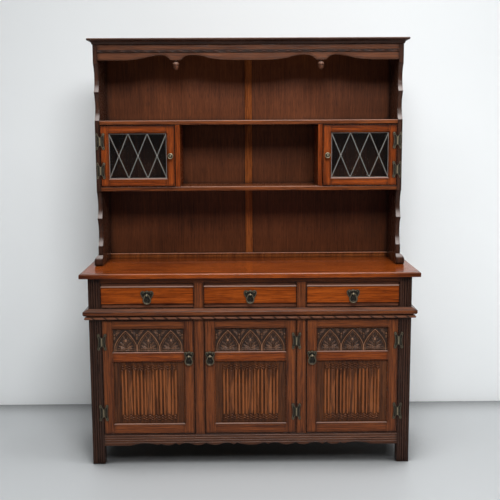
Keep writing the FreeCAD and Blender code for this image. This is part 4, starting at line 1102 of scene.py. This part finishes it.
# Profiles of bosses from their seat to their tip, as (radius, reach)
ROUND_HEAD = ((1.0, 0.0), (1.0, 0.15), (0.92, 0.36), (0.72, 0.54), (0.42, 0.64), (0.08, 0.67))
CUP = ((1.0, 0.0), (1.0, 0.38), (0.96, 0.46), (0.88, 0.46), (0.80, 0.39), (0.5, 0.37), (0.30, 0.37),
       (0.28, 0.43), (0.20, 0.50), (0.05, 0.53))
SCREW_RINGS = 6
SLOT_HALF = 0.18


def turned_boss(x, y, z, profile, size):
    """A boss turned about a line to the front."""
    corners = [(u, y - reach * size, v) for radius, reach in profile for u, v in circle(x, z, radius * size)]
    return corners, [face[::-1] for face in loft_faces(len(profile), TURN_STEPS)]


def slotted_screw(x, y, z, radius):
    """A domed screw head with a slot across it."""
    corners = []
    for ring in range(SCREW_RINGS + 1):
        share = 1.0 - ring / SCREW_RINGS * 0.94
        dome = radius * (0.12 + 0.42 * math.sqrt(max(0.0, 1.0 - share * share))) if ring else 0.0
        for u, v in circle(0.0, 0.0, radius * share):
            reach = dome * 0.45 if abs(v) < radius * SLOT_HALF else dome
            corners.append((x + u, y - reach, z + v))
    return corners, [face[::-1] for face in loft_faces(SCREW_RINGS + 1, TURN_STEPS)]


LEAF_ROOT = 3.6 * MM
LEAF_WIDTH = 16 * MM
LEAF_HALF = 35 * MM
LEAF_NECK = 20 * MM
LEAF_LOBE = 0.45 * LEAF_WIDTH
LEAF_THICK = 1.8 * MM
LEAF_BORDER = 1.2 * MM
LEAF_BORDER_INSET = 1.6 * MM
SCROLL_RADIUS = 3.9 * MM
SCROLL_BEAD = 1.3 * MM
SCROLL_SCREW = 2.2 * MM
MIDDLE_SCREW = 1.9 * MM
BEAD_SEAT = 0.3


def leaf_path(hand):
    """The outline of a butterfly hinge leaf about the middle of its pin."""
    def across(share):
        return (LEAF_ROOT + LEAF_WIDTH * share) * hand

    half, lobe = LEAF_HALF, LEAF_LOBE
    return outline([
        ((across(0), -LEAF_NECK), (across(0.3), -0.76 * half), (across(0.42), -half)),
        ((across(0.42), -half), (across(0.88), 0.2 * lobe - half), (across(1), lobe - half)),
        ((across(1), lobe - half), (across(0.7), 0), (across(1), half - lobe)),
        ((across(1), half - lobe), (across(0.88), half - 0.2 * lobe), (across(0.42), half)),
        ((across(0.42), half), (across(0.3), 0.76 * half), (across(0), LEAF_NECK)),
    ]) + [(across(0), LEAF_NECK)]


def leaf_trim(x, face, z, hand):
    """The raised border and scrolls of one hinge leaf, and its screws."""
    front = face - LEAF_THICK
    border = drawn_in(leaf_path(hand)[::hand], LEAF_BORDER_INSET)
    rubbed = [bead_loop(placed(border, x, z), LEAF_BORDER, front, BEAD_SEAT)]
    screws = [slotted_screw(x + (LEAF_ROOT + LEAF_WIDTH / 2) * hand, front, z, MIDDLE_SCREW)]
    for up in (-1, 1):
        u, v = x + (LEAF_ROOT + LEAF_WIDTH * 0.6) * hand, z + (LEAF_HALF - LEAF_WIDTH * 0.42) * up
        rubbed.append(bead_loop(circle(u, v, SCROLL_RADIUS), SCROLL_BEAD, front, BEAD_SEAT))
        screws.append(slotted_screw(u, front, v, SCROLL_SCREW))
    return rubbed, screws


# The node that carries each back plate, with the plate's width and height
PLATES = {"drawer": ("front", 54 * MM, 44 * MM), "door": ("frame", 35 * MM, 50 * MM)}
PLATE_THICK = 2.5 * MM
PLATE_BORDER = 1.5 * MM
PLATE_BORDER_INSET = 2.2 * MM
PLATE_BOSSES = ((0.0, 0.29, 3.2 * MM), (0.30, 0.20, 3.0 * MM), (-0.30, 0.20, 3.0 * MM))
RING_WIRE = 2.6 * MM
CUP_DROP = 21 * MM
CUP_RADIUS = 13 * MM


def heart_path(width, height):
    """The outline of a pull's back plate about its pivot."""
    half, top, tip = width / 2, height * 0.36, height * -0.64
    return outline([
        ((0, tip), (half * 0.72, tip * 0.45), (half, top * 0.2)),
        ((half, top * 0.2), (half * 0.8, top), (half * 0.32, top * 0.85)),
        ((half * 0.32, top * 0.85), (0, top * 1.15), (half * -0.32, top * 0.85)),
        ((half * -0.32, top * 0.85), (half * -0.8, top), (-half, top * 0.2)),
        ((-half, top * 0.2), (half * -0.72, tip * 0.45), (0, tip)),
    ])


def pull_trim(ring_node, face, width, height):
    """The raised border and bosses of one pull's back plate, and its cup."""
    low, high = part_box(ring_node)
    x, z = (low.x + high.x) / 2, high.z - RING_WIRE
    front = face - PLATE_THICK
    border = drawn_in(heart_path(width, height), PLATE_BORDER_INSET)
    shells = [bead_loop(placed(border, x, z), PLATE_BORDER, front, BEAD_SEAT)]
    for u, v, size in PLATE_BOSSES:
        shells.append(turned_boss(x + width * u, front, z + height * v, ROUND_HEAD, size))
    return shells, turned_boss(x, face, z - CUP_DROP, CUP, CUP_RADIUS)


# Operators

class DRESSER_OT_finishes(Operator):
    """Gives every CAD node its oak, brass, lead or glass"""
    bl_idname = "dresser.finishes"
    bl_label = "Finish the CAD Pieces"

    def execute(self, context):
        for material, names in oak_nodes() + fitting_nodes():
            for name in names:
                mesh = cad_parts[name].data
                mesh.materials.clear()
                mesh.materials.append(material)
        return {"FINISHED"}


class DRESSER_OT_arch_panels(Operator):
    """Carves the pointed arches of the upper door panels"""
    bl_idname = "dresser.arch_panels"
    bl_label = "Arch Panels"

    def execute(self, context):
        material = oak("oak_arch_carving", "carved", standing, gloss=0.26, carved=True, shine=0.3)
        for side in SIDES:
            body = f"door_{side}"
            carved_panel(f"arch_carving_{side}", f"{body}_arch_panel", arch_carving, material, body)
        return {"FINISHED"}


class DRESSER_OT_linenfold_panels(Operator):
    """Carves the linenfold of the lower door panels"""
    bl_idname = "dresser.linenfold_panels"
    bl_label = "Linenfold Panels"

    def execute(self, context):
        material = oak("oak_linenfold", "linen", standing, gloss=0.28, carved=True)
        for side in SIDES:
            body = f"door_{side}"
            carved_panel(f"linenfold_{side}", f"{body}_linenfold_panel", linen_carving, material, body)
        return {"FINISHED"}


class DRESSER_OT_carved_strips(Operator):
    """Carves the slanted segments under the waist moulding and the leaves along the frieze"""
    bl_idname = "dresser.carved_strips"
    bl_label = "Carved Strips"

    def execute(self, context):
        waist_strip(oak("oak_waist_rope", "brown", wrapping, gloss=0.3, carved=True))
        frieze_band(oak("oak_frieze_leaves", "dusk", wrapping, gloss=0.3, carved=True))
        return {"FINISHED"}


HINGE_LEAVES = {"door": "fittings", "glazed_door": "hinge_leaves"}
KNUCKLE_RADIUS = 3.2 * MM


class DRESSER_OT_hinge_trim(Operator):
    """Puts raised borders and screws on the hinge leaves"""
    bl_idname = "dresser.hinge_trim"
    bl_label = "Hinge Trim"

    def execute(self, context):
        for kind, leaves in HINGE_LEAVES.items():
            fixed = [], []
            for side, hand in HANDS[kind].items():
                low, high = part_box(f"{kind}_{side}_frame")
                metal_low, metal_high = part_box(f"{kind}_{side}_{leaves}")
                x = metal_low.x + KNUCKLE_RADIUS if hand > 0 else metal_high.x - KNUCKLE_RADIUS
                moving = [], []
                for z in (low.z + HINGE_INSETS[kind], high.z - HINGE_INSETS[kind]):
                    for shells, way in ((moving, hand), (fixed, -hand)):
                        for kept, new in zip(shells, leaf_trim(x, low.y, z, way)):
                            kept.extend(new)
                self.fit(f"{kind}_{side}", f"{kind}_{side}", *moving)
            self.fit(f"{kind}_frame", "carcass", *fixed)
        return {"FINISHED"}

    def fit(self, name, body, borders, screws):
        piece(f"{name}_hinge_trim", borders, bpy.data.materials["brass_trim"], body)
        piece(f"{name}_hinge_screws", screws, bpy.data.materials["brass_cups"], body)


class DRESSER_OT_pull_trim(Operator):
    """Puts raised borders, cups and bosses on the back plates of the pulls"""
    bl_idname = "dresser.pull_trim"
    bl_label = "Pull Trim"

    def execute(self, context):
        rubbed, dark = bpy.data.materials["brass_trim"], bpy.data.materials["brass_cups"]
        for kind, (carrier, width, height) in PLATES.items():
            for side in SIDES:
                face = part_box(f"{kind}_{side}_{carrier}")[0].y
                shells, cup = pull_trim(f"{kind}_{side}_pull_ring", face, width, height)
                piece(f"{kind}_{side}_pull_trim", shells, rubbed, f"{kind}_{side}")
                piece(f"{kind}_{side}_pull_cup", [cup], dark, f"{kind}_{side}")
        return {"FINISHED"}


KNOB_RIM = 1.9 * MM
KNOB_RIM_BACK = 2.6 * MM
KNOB_RIM_SEAT = 0.5
KNOB_BUTTON = 3.9 * MM
KNOB_BUTTON_BACK = 1.0 * MM


class DRESSER_OT_knob_trim(Operator):
    """Turns a rim and a button on the face of each glazed door's knob"""
    bl_idname = "dresser.knob_trim"
    bl_label = "Knob Trim"

    def execute(self, context):
        material = bpy.data.materials["brass_buttons"]
        for side in GLAZED_SIDES:
            body = f"glazed_door_{side}"
            low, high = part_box(f"{body}_knob")
            x, z = (low.x + high.x) / 2, (low.z + high.z) / 2
            edge = circle(x, z, (high.x - low.x) / 2 - KNOB_RIM)
            rim = bead_loop(edge, KNOB_RIM, low.y + KNOB_RIM_BACK, KNOB_RIM_SEAT)
            button = turned_boss(x, low.y + KNOB_BUTTON_BACK, z, ROUND_HEAD, KNOB_BUTTON)
            piece(f"{body}_knob_trim", [rim, button], material, body)
        return {"FINISHED"}


SOLDER_RADIUS = 4.2 * MM
SOLDER_INSET = 4 * MM
SOLDER_BACK = 0.3 * MM


class DRESSER_OT_solder(Operator):
    """Drops solder on the joints of the lead cames"""
    bl_idname = "dresser.solder"
    bl_label = "Solder"

    def execute(self, context):
        material = bpy.data.materials["solder"]
        for side in GLAZED_SIDES:
            body = f"glazed_door_{side}"
            low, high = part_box(f"{body}_lead")
            pitch = (high.x - low.x) / DIAMONDS
            spots = [(low.x + pitch * (place + 0.5), (low.z + high.z) / 2) for place in range(DIAMONDS)]
            for place in range(1, DIAMONDS):
                x = low.x + pitch * place
                spots += [(x, low.z + SOLDER_INSET), (x, high.z - SOLDER_INSET)]
            shells = [turned_boss(x, low.y + SOLDER_BACK, z, ROUND_HEAD, SOLDER_RADIUS) for x, z in spots]
            piece(f"{body}_solder", shells, material, body)
        return {"FINISHED"}


FLOOR_REACH = 7.0
FLOOR_CORNERS = 96
WALL_PLACE = 0.59
WALL_HALF = 4.0
WALL_TALL = 4.0
ROOM_FADE = (-0.4, 0.6)
SENSOR_WIDTH = 36.0

# Where each light hangs, the point that it faces, and its width and height
LIGHTS = {
    "key": ((0.35, -3.1, 3.3), (0.0, 0.0, 0.95), (1.8, 1.0)),
    "side": ((3.0, -1.2, 1.7), (0.2, 0.0, 0.9), (1.2, 2.0)),
    "top": ((0.2, -0.9, 3.3), (0.0, -0.5, 0.0), (2.8, 1.2)),
}


class DRESSER_OT_stage(Operator):
    """Lays the floor, hangs the lights and sets up the camera"""
    bl_idname = "dresser.stage"
    bl_label = "Stage"

    def execute(self, context):
        stage = settings("dresser_stage")
        ring = [(x, y, 0.0) for x, y in circle(0.0, 0.0, FLOOR_REACH, FLOOR_CORNERS)]
        self.backdrop("floor", ring, painted_floor("pale_floor"))
        edges = ((-WALL_HALF, 0.0), (WALL_HALF, 0.0), (WALL_HALF, WALL_TALL), (-WALL_HALF, WALL_TALL))
        self.backdrop("wall", [(x, WALL_PLACE, z) for x, z in edges], one_sided_wall("pale_wall"))
        self.light_room(stage)
        for name, (place, target, size) in LIGHTS.items():
            self.area_light(f"{name}_light", place, target, size, getattr(stage, f"{name}_power"))
        self.set_camera(stage)
        return {"FINISHED"}

    def backdrop(self, name, corners, material):
        mesh = bpy.data.meshes.new(name)
        mesh.from_pydata(corners, [], [tuple(range(len(corners)))])
        mesh.materials.append(material)
        self.link(name, mesh)

    def link(self, name, data):
        made = bpy.data.objects.new(name, data)
        bpy.context.scene.collection.objects.link(made)
        return made

    def light_room(self, stage):
        """A plain room that is brighter behind the dresser than in front of it."""
        room = Paint("plain_room", "worlds")
        spot = room.add("ShaderNodeTexCoord", output="Generated")
        depth = room.add("ShaderNodeSeparateXYZ", inputs={0: spot}, output="Y")
        glow = room.mix(depth.ramp(*ROOM_FADE), stage.room_front, stage.room_behind)
        back = room.add("ShaderNodeBackground", inputs={"Color": glow})
        bpy.context.scene.world = room.finish(back, "ShaderNodeOutputWorld")

    def area_light(self, name, place, target, size, power):
        light = bpy.data.lights.new(name, "AREA")
        light.shape = "RECTANGLE"
        light.size, light.size_y = size
        light.energy = power
        lamp = self.link(name, light)
        lamp.location = place
        lamp.rotation_euler = (Vector(target) - Vector(place)).to_track_quat("-Z", "Y").to_euler()

    def set_camera(self, stage):
        camera = bpy.data.cameras.new("camera")
        camera.lens = stage.lens
        camera.sensor_width = SENSOR_WIDTH
        viewer = self.link("camera", camera)
        yaw, pitch = stage.camera_yaw, stage.camera_pitch
        ahead = Vector((math.sin(yaw) * math.cos(pitch), math.cos(yaw) * math.cos(pitch), -math.sin(pitch)))
        turn = ahead.to_track_quat("-Z", "Y").to_matrix().to_4x4()
        viewer.matrix_world = (Matrix.Translation(stage.camera_place) @ turn
                               @ Matrix.Rotation(stage.camera_roll, 4, "Z"))
        bpy.context.scene.camera = viewer
        bpy.context.scene.view_settings.view_transform = "Standard"


class DRESSER_PT_looks(Panel):
    """Lists the steps that dress the dresser, and their settings"""
    bl_label = "Welsh Dresser"
    bl_idname = "DRESSER_PT_looks"
    bl_space_type = "VIEW_3D"
    bl_region_type = "UI"
    bl_category = "Dresser"

    def draw(self, context):
        for step in STEPS:
            self.layout.operator(step.bl_idname)
        for group in SETTINGS:
            box = self.layout.box()
            for name in SETTINGS[group].__annotations__:
                box.prop(getattr(context.scene, group), name)


SETTINGS = {
    "dresser_carving": CarvingSettings,
    "dresser_finish": FinishSettings,
    "dresser_stage": StageSettings,
}
STEPS = (
    DRESSER_OT_finishes,
    DRESSER_OT_arch_panels,
    DRESSER_OT_linenfold_panels,
    DRESSER_OT_carved_strips,
    DRESSER_OT_hinge_trim,
    DRESSER_OT_pull_trim,
    DRESSER_OT_knob_trim,
    DRESSER_OT_solder,
    DRESSER_OT_stage,
)


def register():
    for group, kind in SETTINGS.items():
        bpy.utils.register_class(kind)
        setattr(bpy.types.Scene, group, PointerProperty(type=kind))
    for kind in (*STEPS, DRESSER_PT_looks):
        bpy.utils.register_class(kind)


def unregister():
    for kind in (DRESSER_PT_looks, *reversed(STEPS)):
        bpy.utils.unregister_class(kind)
    for group, kind in reversed(SETTINGS.items()):
        delattr(bpy.types.Scene, group)
        bpy.utils.unregister_class(kind)


def main():
    register()
    for step in STEPS:
        family, name = step.bl_idname.split(".")
        getattr(getattr(bpy.ops, family), name)()


if __name__ == "__main__":
    main()
